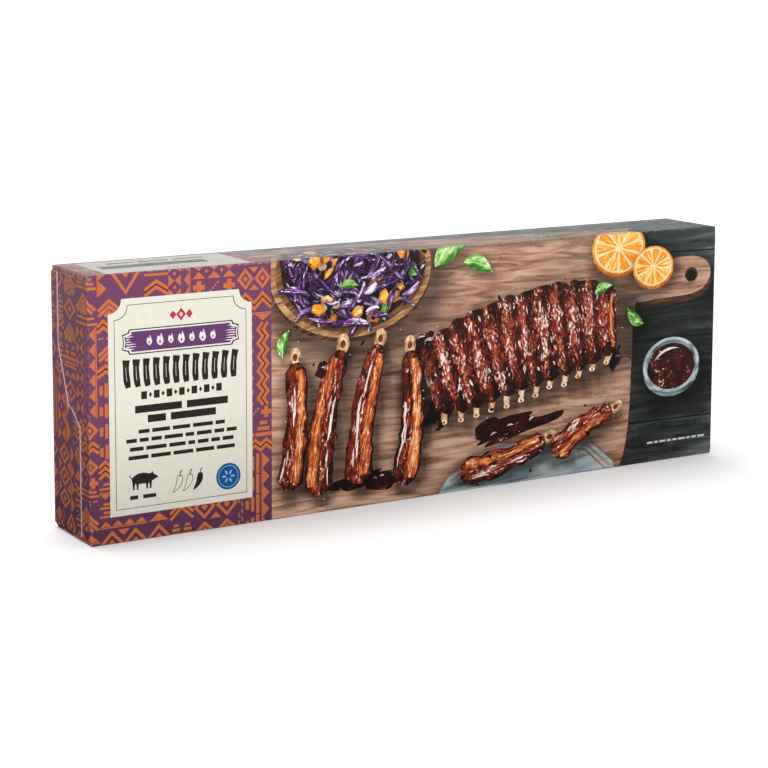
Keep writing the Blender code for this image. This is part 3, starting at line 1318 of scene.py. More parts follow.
@dataclass
class FoodPicture:
    """The picture field: glazed ribs on a board, with a bowl of salad, citrus, leaves, a cloth and planks.

    Its places are millimetres from its own lower left corner.

    Attributes:
        left: Where its corner lies on the blank.
        wide: How wide it is.
        seed: Where its random draws start.
        leaves: Its loose leaves, as (middle, turn, length).
        pools: Its pools of sauce, as (middle, length, width, turn).
        ribs: Its cut ribs, as (foot, tip, half width, bend, whether the cut face lies on the right).
    """

    sheet: Sheet
    left: float = PATTERN_END
    wide: float = LENGTH / 2 - PATTERN_END
    seed: int = 23
    leaves: tuple[tuple[Point, float, float], ...] = (
        ((106.0, 126.0), 0.5, 24.0), ((122.0, 118.0), -0.35, 19.0), ((226.0, 84.0), 2.4, 15.0),
        ((204.0, 100.0), 0.3, 12.0), ((8.0, 88.0), 1.3, 14.0), ((178.0, 140.0), 0.2, 20.0),
    )
    pools: tuple[tuple[Point, float, float, float], ...] = (
        ((60, 12), 30, 6, 0.1), ((100, 46), 14, 7, 1.2), ((150, 30), 40, 8, 0.25),
        ((213, 62), 9, 5, 1.4), ((86, 82), 10, 5, 0.9), ((30, 74), 8, 4, 1.3),
    )
    ribs: tuple[tuple[Point, Point, float, float, bool], ...] = (
        ((9.0, 14.0), (13.0, 78.0), 8.0, -3.0, True),
        ((27.0, 9.0), (40.0, 82.0), 8.8, 4.0, False),
        ((50.0, 12.0), (62.0, 83.0), 8.6, 3.5, True),
        ((76.0, 8.0), (80.0, 78.0), 8.4, -4.0, True),
        ((112.0, 10.0), (166.0, 22.0), 8.6, -3.0, False),
        ((172.0, 12.0), (211.0, 33.0), 8.0, 3.0, True),
    )

    def __post_init__(self) -> None:
        """Starts the picture's own random draws."""
        self.rng = random.Random(self.seed)

    def moved(self, outline: Sequence[Point]) -> Outline:
        """Moves an outline from the picture's corner to its place on the blank."""
        return [(self.left + x, v) for x, v in outline]

    def lay(self, outline: Sequence[Point], ink: Ink, grain: float = 0.0, tone: float = 0.5) -> None:
        """Lays a field that takes the shadows of what is laid after it."""
        self.sheet.lay(self.moved(outline), ink, grain, tone, None, len(self.sheet.shadows))

    def placed(self, form: Form) -> Form:
        """Moves a form from the picture's corner to its place on the blank.

        Args:
            form: The form.

        Returns:
            The moved form.
        """
        if isinstance(form, Disc):
            return Disc((form.centre[0] + self.left, form.centre[1]), form.wide, form.high, form.turn)
        return Strand(self.moved(form.line), form.left, form.right)

    def lay_form(self, form: Form, ink: Ink, grain: float = 0.0, tone: float = 0.5) -> None:
        """Lays a form that its ink's shading follows."""
        there = self.placed(form)
        self.sheet.lay(there.outline(), ink, grain, tone, there, len(self.sheet.shadows))

    def cast(self, form: Form, strength: float, reach: float, shift: Point) -> None:
        """Casts a soft shadow on all that is laid before this call."""
        self.sheet.shadows.append(Shadow(self.placed(form), strength, reach, shift))

    def draw(self) -> None:
        """Draws the whole picture, from the back to the front."""
        self.ground()
        self.chopping_board()
        self.citrus(Disc((214.0, 122.0), 18.0, 15.0), 0.3)
        self.citrus(Disc((238.0, 110.0), 14.0, 11.5), 1.1)
        self.sauce_dish(Disc((252.0, 54.0), 20.0, 15.5))
        self.cloth()
        self.bowl(Disc((46.0, 122.0), 47.0, 34.0))
        self.puddles()
        self.rack()
        for one in self.ribs:
            self.rib(*one)
        for one in self.leaves:
            self.leaf(*one)
        self.crumbs()
        self.caption()

    def ground(self) -> None:
        """Draws the dark planks behind everything."""
        self.lay(box(0, -6, self.wide, BACK_HEAD), Ink.SLATE)
        for v in (24.0, 70.0, 118.0, 152.0):
            joint = [(0, v), (self.wide * 0.5, v + 0.8), (self.wide, v - 1.2)]
            self.lay(stroke(joint, 0.9), Ink.SLATE_JOINT)

    def chopping_board(self) -> None:
        """Draws the wooden board with its lower edge, its handle and a hole in it."""
        face = smooth([(-30, -12), (196, -10), (214, -3), (222, 22), (225, 84), (232, 91), (266, 93),
                       (277, 99), (278, 108), (267, 114), (233, 114), (227, 120), (226, 138), (214, 149),
                       (-30, 152)], 4)
        slab = [68.0, 75.0, 75.0, 62.0]
        self.cast(Strand([(-30, 70), (80, 70), (204, 69), (221, 69)], slab, slab), 0.85, 12.0, (2.5, -6.0))
        self.cast(Strand([(224, 103), (272, 104)], [10.0, 7.0], [10.0, 7.0]), 0.8, 8.0, (2.0, -5.0))
        self.lay([(x + 0.6, v - 3.4) for x, v in face], Ink.PLANK_EDGE)
        self.lay(face, Ink.PLANK, -0.03)
        hole = Disc((265.0, 103.8), 4.6, 4.1)
        self.lay_form(hole, Ink.PLANK_EDGE)
        self.lay_form(hole.shrunk(0.8, -0.6), Ink.SLATE_JOINT)

    def cloth(self) -> None:
        """Draws the folded pale cloth that reaches in from below."""
        corners = [(92, -9), (104, 8), (128, 20), (158, 23), (196, 17), (212, 4), (216, -9)]
        self.cast(Disc((154.0, -10.0), 58.0, 30.0), 0.75, 8.0, (1.0, 0.5))
        self.lay(corners, Ink.CLOTH, 0.12)
        for inset in (2.0, 4.2):
            hem = [(x + (154 - x) * inset / 60, v - inset) for x, v in corners[1:-1]]
            self.lay(stroke(hem, 0.7), Ink.RUST)

    def bowl(self, form: Disc) -> None:
        """Draws the wooden bowl with its salad of strips, wedges, leaves and nuts.

        Args:
            form: The bowl's rim.
        """
        self.cast(form, 0.9, 11.0, (3.0, -7.0))
        self.lay_form(form.shrunk(1.0, -2.2), Ink.PLANK_EDGE, 0.2)
        self.lay_form(form, Ink.BOWL, 0.2, 0.6)
        self.lay_form(form.shrunk(0.93, 0.6), Ink.BOWL, 0.5, 0.1)
        self.lay_form(form.shrunk(0.86, 1.2), Ink.BOWL_SHADE)
        for index in range(240):
            angle = self.rng.uniform(0, 2 * math.pi)
            out = math.sqrt(self.rng.random()) * 0.82
            spot = form.at(angle, out)
            turn = angle + math.pi / 2 + self.rng.uniform(-1.1, 1.1)
            pick = self.rng.random()
            if pick < 0.60 or index < 90:
                self.strip(spot, turn, self.rng.uniform(9, 22), Ink.ONION)
            elif pick < 0.72:
                self.strip(spot, turn, self.rng.uniform(7, 15), Ink.ONION_PALE)
            elif pick < 0.83:
                self.wedge(spot, turn, self.rng.uniform(3.4, 5.6))
            elif pick < 0.94:
                self.leaf(spot, turn, self.rng.uniform(8.0, 14.0))
            else:
                nut = Disc(spot, 2.4, 2.1)
                self.cast(nut, 0.6, 1.6, (0.4, -0.9))
                self.lay_form(nut, Ink.BONE, 0.0, 0.8)

    def axis(self, spot: Point, turn: float, length: float, bend: float, count: int) -> Outline:
        """Gives a bowed line about its middle."""
        way = Vector((math.cos(turn), math.sin(turn))) * length / 2
        return arc_line((spot[0] - way.x, spot[1] - way.y), (spot[0] + way.x, spot[1] + way.y), bend, count)

    def strip(self, spot: Point, turn: float, length: float, ink: Ink) -> None:
        """Draws one bowed strip of onion or cabbage.

        Args:
            spot: Its middle.
            turn: The way it lies.
            length: How long it is.
            ink: Its ink.
        """
        line = self.axis(spot, turn, length, self.rng.uniform(-0.28, 0.28) * length, 8)
        most = self.rng.uniform(1.0, 2.1)
        wide = [most * (0.35 + 0.65 * share) for share in swell(8, 0.05)]
        form = Strand(line, wide, wide)
        self.cast(form, 0.55, 1.5, (0.3, -0.9))
        self.lay_form(form, ink, turn, self.rng.uniform(0.1, 1.0))

    def wedge(self, spot: Point, turn: float, size: float) -> None:
        """Draws one cut wedge of orange-coloured vegetable, with a lighter face.

        Args:
            spot: Its middle.
            turn: The way it lies.
            size: Half its length.
        """
        form = Disc(spot, size, size * 0.72, turn)
        self.cast(form, 0.6, 2.0, (0.4, -1.2))
        self.lay(form.outline(5), Ink.PEEL, turn, self.rng.uniform(0.0, 0.5))
        self.lay(form.shrunk(0.8, size * 0.14).outline(5), Ink.FLESH, turn, self.rng.uniform(0.3, 0.9))

    def leaf(self, spot: Point, turn: float, length: float) -> None:
        """Draws one pointed leaf with its midrib.

        Args:
            spot: Its middle.
            turn: The way it lies.
            length: How long it is.
        """
        line = self.axis(spot, turn, length, length * 0.1, 12)
        wide = [length * 0.25 * share for share in swell(12, 0.02, 0.8)]
        form = Strand(line, wide, [w * 0.85 for w in wide])
        self.cast(form, 0.7, length * 0.12, (length * 0.04, -length * 0.09))
        self.lay_form(form, Ink.LEAF, turn + 0.5, self.rng.uniform(0.35, 0.9))
        rib = [length * 0.012 * (1.4 - k / 12) for k in range(11)]
        self.lay(band(line[:-2], rib, rib), Ink.LEAF_VEIN, turn)

    def citrus(self, form: Disc, turn: float) -> None:
        """Draws one round slice of orange.

        Args:
            form: Its rim.
            turn: How far its segments are turned.
        """
        self.cast(form, 0.85, form.wide * 0.3, (1.6, -3.0))
        self.lay_form(form.shrunk(1.0, -1.1), Ink.PEEL, 0.0, 0.1)
        self.lay_form(form, Ink.PEEL, 0.0, 0.7)
        self.lay_form(form.shrunk(0.92), Ink.PITH)
        for index in range(10):
            start, end = (turn + 2 * math.pi * (index + share) / 10 for share in (0.07, 0.93))
            middle = (start + end) / 2
            points = [(0.09, middle), (0.5, start + 0.02), (0.83, start + 0.03), (0.87, middle),
                      (0.83, end - 0.03), (0.5, end - 0.02)]
            shape = [form.at(angle, out) for out, angle in points]
            self.lay(shape, Ink.FLESH, middle, self.rng.uniform(0.2, 0.9))

    def sauce_dish(self, form: Disc) -> None:
        """Draws the small pale dish of dark sauce.

        Args:
            form: Its rim.
        """
        self.cast(form, 0.9, 9.0, (2.5, -6.0))
        self.lay_form(form.shrunk(0.99, -2.6), Ink.CLOTH, 0.0, 0.0)
        self.lay_form(form, Ink.CLOTH, 0.6, 0.9)
        self.lay_form(form.shrunk(0.89, 0.2), Ink.CLOTH, 0.0, 0.1)
        self.lay_form(form.shrunk(0.84, -0.9), Ink.SAUCE, 0.3, 0.7)
        self.gleam((form.centre[0] - form.wide * 0.6, form.centre[1] + 3.0),
                   (form.centre[0] + form.wide * 0.25, form.centre[1] + form.high * 0.58), 0.8, 2.5)

    def gleam(self, start: Point, end: Point, wide: float, bend: float) -> None:
        """Draws one long highlight that tapers to both ends.

        Args:
            start: Its first point.
            end: Its last point.
            wide: Half its greatest width.
            bend: How far it bows.
        """
        taper = [wide * share for share in swell(10, 0.02)]
        form = Strand(arc_line(start, end, bend, 10), taper, taper)
        turn = math.atan2(end[1] - start[1], end[0] - start[0])
        self.lay_form(form, Ink.SHINE, turn, self.rng.uniform(0.3, 0.9))

    def puddles(self) -> None:
        """Draws the pools of dark sauce under the meat, each with wet glints."""
        draw = self.rng.uniform
        for (x, v), long, short, turn in self.pools:
            for _ in range(4):
                near = (x + draw(-0.5, 0.5) * long, v + draw(-0.5, 0.5) * short)
                self.blob(near, long * draw(0.35, 0.7), short * draw(0.4, 0.9), turn, Ink.SAUCE)
            for _ in range(3):
                near = Vector((x, v)) + Vector((draw(-0.5, 0.5) * long, draw(-0.4, 0.4) * short))
                self.gleam((near.x, near.y), (near.x + draw(2, 5), near.y + draw(-1, 2)), 0.5, 0.6)

    def rib(self, foot: Point, tip: Point, wide: float, bend: float, cut_right: bool) -> None:
        """Draws one cut rib lying on the board.

        Args:
            foot: Its lower end.
            tip: Its upper end, with the bone.
            wide: Half its width.
            bend: How far it bows.
            cut_right: Whether the cut face lies on the right.
        """
        count = 16
        line = arc_line(foot, tip, bend, count)
        angle = math.atan2(tip[1] - foot[1], tip[0] - foot[0])
        half = []
        for k in range(count + 1):
            t = k / count
            round_off = min(1.0, math.sqrt(min(t, 1 - t) * 13 + 0.12))
            half.append(wide * (1.0 - 0.32 * t) * round_off * self.rng.uniform(0.84, 1.10))
        whole = Strand(line, half, half)
        self.cast(whole, 0.92, 5.5, (2.0, -3.2))
        way = Vector((math.cos(angle), math.sin(angle))) * wide * 0.35
        knob = Disc((tip[0] + way.x, tip[1] + way.y), wide * 0.6, wide * 0.42, angle)
        self.lay_form(knob, Ink.BONE, angle, 0.5)
        self.lay_form(knob.shrunk(0.4), Ink.FIBRE)
        self.lay_form(whole, Ink.GLAZE, angle, self.rng.uniform(0.3, 0.7))
        near, far = (0.02, 0.90) if cut_right else (0.90, 0.02)
        face = Strand(line[1:-1], [w * near * self.rng.uniform(0.9, 1.1) for w in half[1:-1]],
                      [w * far * self.rng.uniform(0.82, 1.04) for w in half[1:-1]])
        self.lay_form(face, Ink.CUT, angle, self.rng.uniform(0.25, 0.7))
        cut_side = -0.45 if cut_right else 0.45
        for _ in range(4):
            self.crease(line, half, cut_side, Ink.FIBRE, 0.35)
        for _ in range(5):
            self.crease(line, half, -cut_side, Ink.SHINE, 0.75)

    def crease(self, line: Outline, half: Sequence[float], share: float, ink: Ink, wide: float) -> None:
        """Draws one short line along a rib: a dark fibre, or a wet gleam.

        Args:
            line: The rib's middle line.
            half: Half the rib's width along it.
            share: About how far across it lies, as a share of that.
            ink: Its ink.
            wide: Half its greatest width.
        """
        start = self.rng.randint(1, len(line) - 6)
        across = share + self.rng.uniform(-0.3, 0.3)
        reach = range(start, start + max(3, self.rng.randint(2, 5)))
        points = [self.beside(line, k, half[k] * across) for k in reach]
        ends = (reach[0], reach[-1])
        taper = [wide * self.rng.uniform(0.5, 1.0) * (0.3 if k in ends else 1.0) for k in reach]
        angle = math.atan2(points[-1][1] - points[0][1], points[-1][0] - points[0][0])
        self.lay_form(Strand(points, taper, taper), ink, angle, self.rng.uniform(0.2, 0.8))

    def beside(self, line: Outline, index: int, left: float) -> Point:
        """Gives the place beside a line's point.

        Args:
            line: The line.
            index: Which of its points it is.
            left: How far to its left the place lies.

        Returns:
            The place.
        """
        before, after = line[max(index - 1, 0)], line[min(index + 1, len(line) - 1)]
        way = (Vector(after) - Vector(before)).normalized()
        return (line[index][0] - way.y * left, line[index][1] + way.x * left)

    def blob(self, spot: Point, long: float, short: float, turn: float, ink: Ink) -> None:
        """Draws one uneven patch.

        Args:
            spot: Its middle.
            long: Half its length.
            short: Half its width.
            turn: The way it lies.
            ink: Its ink.
        """
        points = []
        for x, v in ring(spot, long, short, 9, turn):
            pull = self.rng.uniform(0.55, 1.2)
            points.append((spot[0] + (x - spot[0]) * pull, spot[1] + (v - spot[1]) * pull))
        self.lay(smooth(points, 3), ink, turn)

    def rack(self) -> None:
        """Draws the whole glazed rack, lying slantwise with its bone ends down."""
        ribs, steps = 12, 4
        count = ribs * steps
        line = arc_line((91.0, 59.0), (213.0, 83.0), 5.0, count)
        angle = math.atan2(24.0, 122.0)
        upper, lower = [], []
        for k in range(count + 1):
            t = k / count
            whole = 1.0 - 0.34 * abs(2 * t - 1) ** 4
            bump = -math.cos(2 * math.pi * ribs * t)
            upper.append(26.5 * whole + bump * 0.7 + self.rng.uniform(-0.7, 0.7))
            lower.append(25.0 * whole + bump * 1.3 + self.rng.uniform(-0.6, 0.6))
        form = Strand(line, upper, lower)
        self.cast(form, 0.95, 9.0, (2.5, -5.5))
        for index in range(ribs):
            k = index * steps + steps // 2
            self.bone_end(self.beside(line, k, -lower[k] * 0.85),
                          self.beside(line, k - 1, -lower[k] - self.rng.uniform(1.5, 5.0)))
        self.lay_form(form, Ink.RACK, angle + math.pi / 2, 0.5)
        side = Strand([self.beside(line, count - 1, s * 25.0) for s in (-0.6, -0.3, 0.0, 0.3, 0.58)],
                      [1.2, 2.6, 3.0, 2.4, 0.9], [1.4, 1.4, 1.6, 1.3, 1.0])
        self.lay_form(side, Ink.CUT, angle + math.pi / 2, 0.35)
        for _ in range(70):
            k = self.rng.randrange(2, count - 2)
            across = self.rng.uniform(-0.75, 0.85)
            spot = self.beside(line, k, (upper if across > 0 else lower)[k] * across)
            lean = angle + math.pi / 2 + self.rng.uniform(-0.5, 0.5)
            length = self.rng.uniform(1.5, 5.0)
            end = (spot[0] + length * math.cos(lean), spot[1] + length * math.sin(lean))
            self.gleam(spot, end, self.rng.uniform(0.25, 0.7), self.rng.uniform(-0.6, 0.6))

    def bone_end(self, top: Point, foot: Point) -> None:
        """Draws one bone end that stands out from the rack.

        Args:
            top: Where it starts inside the rack.
            foot: Its end.
        """
        middle = ((top[0] + foot[0]) / 2, (top[1] + foot[1]) / 2)
        form = Strand([top, middle, foot], [2.3, 2.1, 1.7], [2.3, 2.1, 1.7])
        turn = math.atan2(top[1] - foot[1], top[0] - foot[0])
        self.lay_form(form, Ink.BONE, turn, self.rng.uniform(0.2, 0.7))
        end = Disc(foot, 1.9, 1.35)
        self.lay_form(end, Ink.BONE, 0.0, 0.8)
        self.lay_form(end.shrunk(0.42), Ink.FIBRE)

    def crumbs(self) -> None:
        """Scatters peppercorns, salt and drops of sauce over the board."""
        for _ in range(80):
            draw = self.rng.uniform
            spot = (draw(4, 218), draw(2, 142))
            pick = self.rng.random()
            if pick < 0.4:
                self.blob(spot, 0.5, 0.4, 0, Ink.SLATE_JOINT)
            elif pick < 0.7:
                self.blob(spot, 0.4, 0.3, 0, Ink.SHINE)
            else:
                self.blob(spot, draw(0.8, 2.6), draw(0.5, 1.4), draw(0, 3), Ink.SAUCE)

    def caption(self) -> None:
        """Draws the row of tiny pale dashes in the lower right corner."""
        x, v = 236.0, 11.0
        while x < 274.0:
            length = self.rng.uniform(2.0, 6.0)
            self.lay(box(x, v - 0.55, x + length, v + 0.55), Ink.WHITE)
            x += length + 1.1


@dataclass(frozen=True)
class Girth:
    """The carton's section: where each v lies round it, with rounded folds.

    Attributes:
        corners: The folds met in turn, each as (v, y, z) in millimetres.
    """

    corners: tuple[tuple[float, float, float], ...]

    def at(self, v: float) -> tuple[Vector, Vector]:
        """Gives the place in the section and the way out of it.

        Args:
            v: The distance along the blank.

        Returns:
            The point and the outward normal, each as (y, z).
        """
        last = len(self.corners) - 2
        index = 0
        while index < last and v > self.corners[index + 1][0]:
            index += 1
        (va, ya, za), (vb, yb, zb) = self.corners[index], self.corners[index + 1]
        start, end = Vector((ya, za)), Vector((yb, zb))
        way = (end - start).normalized()
        spot = start + (end - start) * (v - va) / (vb - va)
        normal = Vector((-way.y, way.x))
        for fold_index in (index, index + 1):
            if 0 < fold_index < len(self.corners) - 1:
                fold_v = self.corners[fold_index][0]
                if abs(v - fold_v) < FOLD_RADIUS:
                    return self.round_fold(fold_index, v - fold_v)
        return spot, normal

    def round_fold(self, index: int, past: float) -> tuple[Vector, Vector]:
        """Gives the place and the normal on a rounded fold, at a distance past its corner.

        Args:
            index: Which corner it is.
            past: How far past the corner the place lies.

        Returns:
            The point and the outward normal, each as (y, z).
        """
        before, corner, after = (Vector(self.corners[index + k][1:]) for k in (-1, 0, 1))
        into, out = (corner - before).normalized(), (after - corner).normalized()
        centre = corner + (out - into) * FOLD_RADIUS
        angle = (past + FOLD_RADIUS) / (2 * FOLD_RADIUS) * math.pi / 2
        normal = Vector((-into.y, into.x)) * math.cos(angle) + Vector((-out.y, out.x)) * math.sin(angle)
        return centre + normal * FOLD_RADIUS, normal


Y_FRONT, Y_BACK = LOW.y, HIGH.y
SLEEVE = Girth((
    (-20.0, Y_FRONT + 20.0, 0.0),
    (FRONT_FOOT, Y_FRONT, 0.0),
    (FRONT_HEAD, Y_FRONT, HEIGHT),
    (BACK_HEAD, Y_BACK, HEIGHT),
    (BACK_FOOT, Y_BACK, 0.0),
    (GIRTH, Y_FRONT, 0.0),
))
UNDERSIDE = Girth((
    (BACK_FOOT - 30.0, Y_BACK - BOARD, 30.0),
    (BACK_FOOT, Y_BACK - BOARD, 0.0),
    (GIRTH, Y_FRONT, 0.0),
    (GIRTH + 20.0, Y_FRONT, 20.0),
))


@dataclass
class Panel:
    """One panel of the carton with its two end flaps, as a closed sheet of board.

    Attributes:
        name: The piece's name.
        girth: The section that it is folded round.
        outline: Its cut outline on the blank.
        fold_x: Where its end flaps are folded, from the carton's middle.
        span: The v of the folds at its two long sides.
        bow: How far the panel's middle stands proud of its folds.
        rows: Into how many rows its print is cut for the bake's map.
        cell: The size of the mesh where the print is plain.
        map_margin: The empty share of the bake's map.
    """

    name: str
    girth: Girth
    outline: Outline
    fold_x: float
    span: tuple[float, float]
    bow: float = 0.0
    rows: int = 2
    cell: float = 9.0
    map_margin: float = 0.01

    def bulge(self, x: float, v: float) -> tuple[float, float, float]:
        """Gives the panel's bow at a place, with its slopes along x and v.

        Args:
            x: The place along the carton.
            v: The place round it.

        Returns:
            The bow and its two slopes.
        """
        middle, half = sum(self.span) / 2, (self.span[1] - self.span[0]) / 2
        a, b = x / (self.fold_x - FOLD_RADIUS), (v - middle) / (half - FOLD_RADIUS)
        if abs(a) >= 1 or abs(b) >= 1:
            return 0.0, 0.0, 0.0
        rise = self.bow * (1 - a * a) * (1 - b * b)
        slope_x = -2 * a * self.bow * (1 - b * b) / (self.fold_x - FOLD_RADIUS)
        slope_v = -2 * b * self.bow * (1 - a * a) / (half - FOLD_RADIUS)
        return rise, slope_x, slope_v

    def place(self, x: float, v: float, inward: float = 0.0) -> tuple[Vector, Vector]:
        """Folds one point of the blank.

        Args:
            x: Its place along the carton.
            v: Its place round the carton.
            inward: How far it lies under the outer face.

        Returns:
            The point in metres and the outward normal.
        """
        spot, out = self.girth.at(v)
        side = 1.0 if x >= 0 else -1.0
        past = abs(x) - (self.fold_x - FOLD_RADIUS)
        if past <= 0:
            run, drop, angle = abs(x), 0.0, 0.0
        elif past < 2 * FOLD_RADIUS:
            angle = past / (2 * FOLD_RADIUS) * math.pi / 2
            run = self.fold_x - FOLD_RADIUS + FOLD_RADIUS * math.sin(angle)
            drop = FOLD_RADIUS * (1 - math.cos(angle))
        else:
            run, drop, angle = self.fold_x, abs(x) - self.fold_x, math.pi / 2
        rise, slope_x, slope_v = self.bulge(x, v)
        out3 = Vector((0.0, out.x, out.y))
        along_v = Vector((0.0, out.y, -out.x))
        normal = out3 * math.cos(angle) + Vector((side, 0.0, 0.0)) * math.sin(angle)
        normal = (normal - Vector((slope_x, 0.0, 0.0)) - along_v * slope_v).normalized()
        point = Vector((side * run, spot.x, spot.y)) + out3 * (rise - drop) - normal * inward
        return point * MM, normal

    def limits(self) -> tuple[float, float, float, float]:
        """Gives the blank's lowest and highest x, then its lowest and highest v."""
        across, along = zip(*self.outline)
        return min(across), max(across), min(along), max(along)

    def fold_lines(self) -> list[tuple[Point, Point]]:
        """Gives the lines along which the mesh has edges: the folds, and the cuts of the bake's map.

        Returns:
            Each line's two ends on the blank.
        """
        left, right, low, high = self.limits()
        steps = [FOLD_RADIUS * k / 2 for k in range(-2, 3)]
        level = [fold + step for fold in FOLDS for step in steps]
        upright = [side * (self.fold_x + step) for side in (-1, 1) for step in steps]
        upright += [left + (right - left) * cut / self.rows for cut in range(1, self.rows)]
        lines = [((left, v), (right, v)) for v in level if low < v < high]
        return lines + [((x, low), (x, high)) for x in upright]

    def grid(self) -> list[Point]:
        """Gives points that keep the mesh even where the print is plain.

        Returns:
            The points.
        """
        left, right, low, high = self.limits()
        wide, tall = (max(1, round(size / self.cell)) for size in (right - left, high - low))
        return [(left + (right - left) * i / wide, low + (high - low) * j / tall)
                for i in range(1, wide) for j in range(1, tall)]

    def cut(self, loops: Sequence[Sequence[Point]],
            extra: Sequence[Point]) -> tuple[list[Point], list, list, list]:
        """Cuts a sheet along the edges of loops and the fold lines.

        Args:
            loops: Closed outlines. Only what lies in the first is kept.
            extra: Single points that the mesh also has.

        Returns:
            The points in use, the faces, the topmost loop at each face, and the given points at each point.
        """
        points: list[Vector] = []
        faces = []
        for loop in loops:
            faces.append(list(range(len(points), len(points) + len(loop))))
            points += [Vector(p) for p in loop]
        edges = []
        for line in self.fold_lines():
            edges.append((len(points), len(points) + 1))
            points += [Vector(p) for p in line]
        points += [Vector(p) for p in extra]
        made = delaunay_2d_cdt(points, edges, faces, 1, 1e-4, True)
        kept = [(corners, max(inside)) for corners, inside in zip(made[2], made[5]) if 0 in inside]
        used = sorted({corner for corners, _ in kept for corner in corners})
        number = {corner: k for k, corner in enumerate(used)}
        flat = [(made[0][corner].x, made[0][corner].y) for corner in used]
        cut_faces = [[number[corner] for corner in corners] for corners, _ in kept]
        return flat, cut_faces, [top for _, top in kept], [made[3][corner] for corner in used]

    def rim(self, faces: Sequence[Sequence[int]]) -> list[int]:
        """Gives the points round the border of a cut sheet, in order.

        Args:
            faces: The sheet's faces.

        Returns:
            The points' numbers.
        """
        edges = {(a, b) for corners in faces for a, b in zip(corners, [*corners[1:], corners[0]])}
        after = {a: b for a, b in edges if (b, a) not in edges}
        loop = [min(after)]
        while after[loop[-1]] != loop[0]:
            loop.append(after[loop[-1]])
        return loop

    def build(self, sheet: Sheet) -> bpy.types.Object:
        """Makes the panel's mesh, folds it and gives every face its ink.

        Args:
            sheet: The print of the whole blank.

        Returns:
            The new object.
        """
        left, right, low, high = self.limits()
        near = [one for one in sheet.fields
                if max(p[0] for p in one.outline) > left and min(p[0] for p in one.outline) < right
                and max(p[1] for p in one.outline) > low and min(p[1] for p in one.outline) < high]
        outline = self.outline[::-1] if is_clockwise(self.outline) else self.outline
        points, faces, tops, _ = self.cut([outline] + [one.outline for one in near], self.grid())
        owners = [near[top - 1] if top else Field([], Ink.PURPLE) for top in tops]
        loop = self.rim(faces)
        under, under_faces, _, given = self.cut([[points[index] for index in loop]], [])
        back_of = {loop[k]: len(points) + index
                   for index, at in enumerate(given) for k in at if k < len(loop)}

        folded = [self.place(x, v) for x, v in points]
        places = [point for point, _ in folded] + [self.place(x, v, BOARD)[0] for x, v in under]
        inks = [one.ink for one in owners]
        corners = list(faces)
        for a, b in zip(loop, loop[1:] + loop[:1]):
            corners.append([b, a, back_of[a], back_of[b]])
            inks.append(Ink.CUT_EDGE)
        for face in under_faces:
            corners.append([len(points) + index for index in face[::-1]])
            inks.append(Ink.RAW_BOARD)
        mesh = bpy.data.meshes.new(self.name)
        mesh.from_pydata(places, [], corners)
        used = list(dict.fromkeys(inks))
        for ink in used:
            mesh.materials.append(ink_material(ink))
        mesh.polygons.foreach_set("material_index", [used.index(ink) for ink in inks])
        flat = np.array(points + under)
        self.add_values(mesh, flat, faces, owners, sheet)
        self.add_map(mesh, flat, loop, back_of)
        self.add_normals(mesh, [normal for _, normal in folded], len(faces))
        made = bpy.data.objects.new(self.name, mesh)
        bpy.context.scene.collection.objects.link(made)
        return made

    def add_values(self, mesh: bpy.types.Mesh, flat: np.ndarray, faces: Sequence[Sequence[int]],
                   owners: Sequence[Field], sheet: Sheet) -> None:
        """Stores what the finishes read: places, worn folds, and what the picture's shading follows.

        Args:
            mesh: The panel's mesh.
            flat: Its points' places on the blank.
            faces: The printed faces.
            owners: The field of each printed face.
            sheet: The print.
        """
        blank = mesh.attributes.new("blank", "FLOAT_VECTOR", "POINT")
        blank.data.foreach_set("vector", np.column_stack([flat, np.zeros(len(flat))]).ravel())
        near = np.abs(np.abs(flat[:, 0]) - self.fold_x)
        for fold in FOLDS:
            near = np.minimum(near, np.abs(flat[:, 1] - fold))
        worn = np.clip(1 - near / FOLD_RADIUS, 0, 1)
        mesh.attributes.new("fold", "FLOAT", "POINT").data.foreach_set("value", worn)
        sizes = np.array([len(face) for face in faces])
        places = flat[np.concatenate([np.array(face) for face in faces])]
        forms = np.zeros((len(mesh.loops), 3))
        forms[:, 2] = 0.5
        forms[:len(places), 2] = np.repeat([one.tone for one in owners], sizes)
        starts = np.concatenate([[0], np.cumsum(sizes)])
        corners_of: dict[int, list[int]] = {}
        for index, one in enumerate(owners):
            if one.form:
                corners_of.setdefault(id(one), []).extend(range(starts[index], starts[index + 1]))
        by_id = {id(one): one for one in owners}
        for key, corners in corners_of.items():
            forms[corners, :2] = by_id[key].form.local(places[corners])
        light = np.ones(len(mesh.loops))
        levels = np.repeat([one.level for one in owners], sizes)
        for index, shadow in enumerate(sheet.shadows):
            lit = np.nonzero((levels >= 0) & (levels <= index))[0]
            if len(lit):
                light[lit] *= shadow.light(places[lit])
        mesh.attributes.new("form", "FLOAT_VECTOR", "CORNER").data.foreach_set("vector", forms.ravel())
        mesh.attributes.new("shade", "FLOAT", "CORNER").data.foreach_set("value", light ** SHADOW_POWER)
        grains = [one.grain for one in owners] + [0.0] * (len(mesh.polygons) - len(owners))
        mesh.attributes.new("grain", "FLOAT", "FACE").data.foreach_set("value", grains)

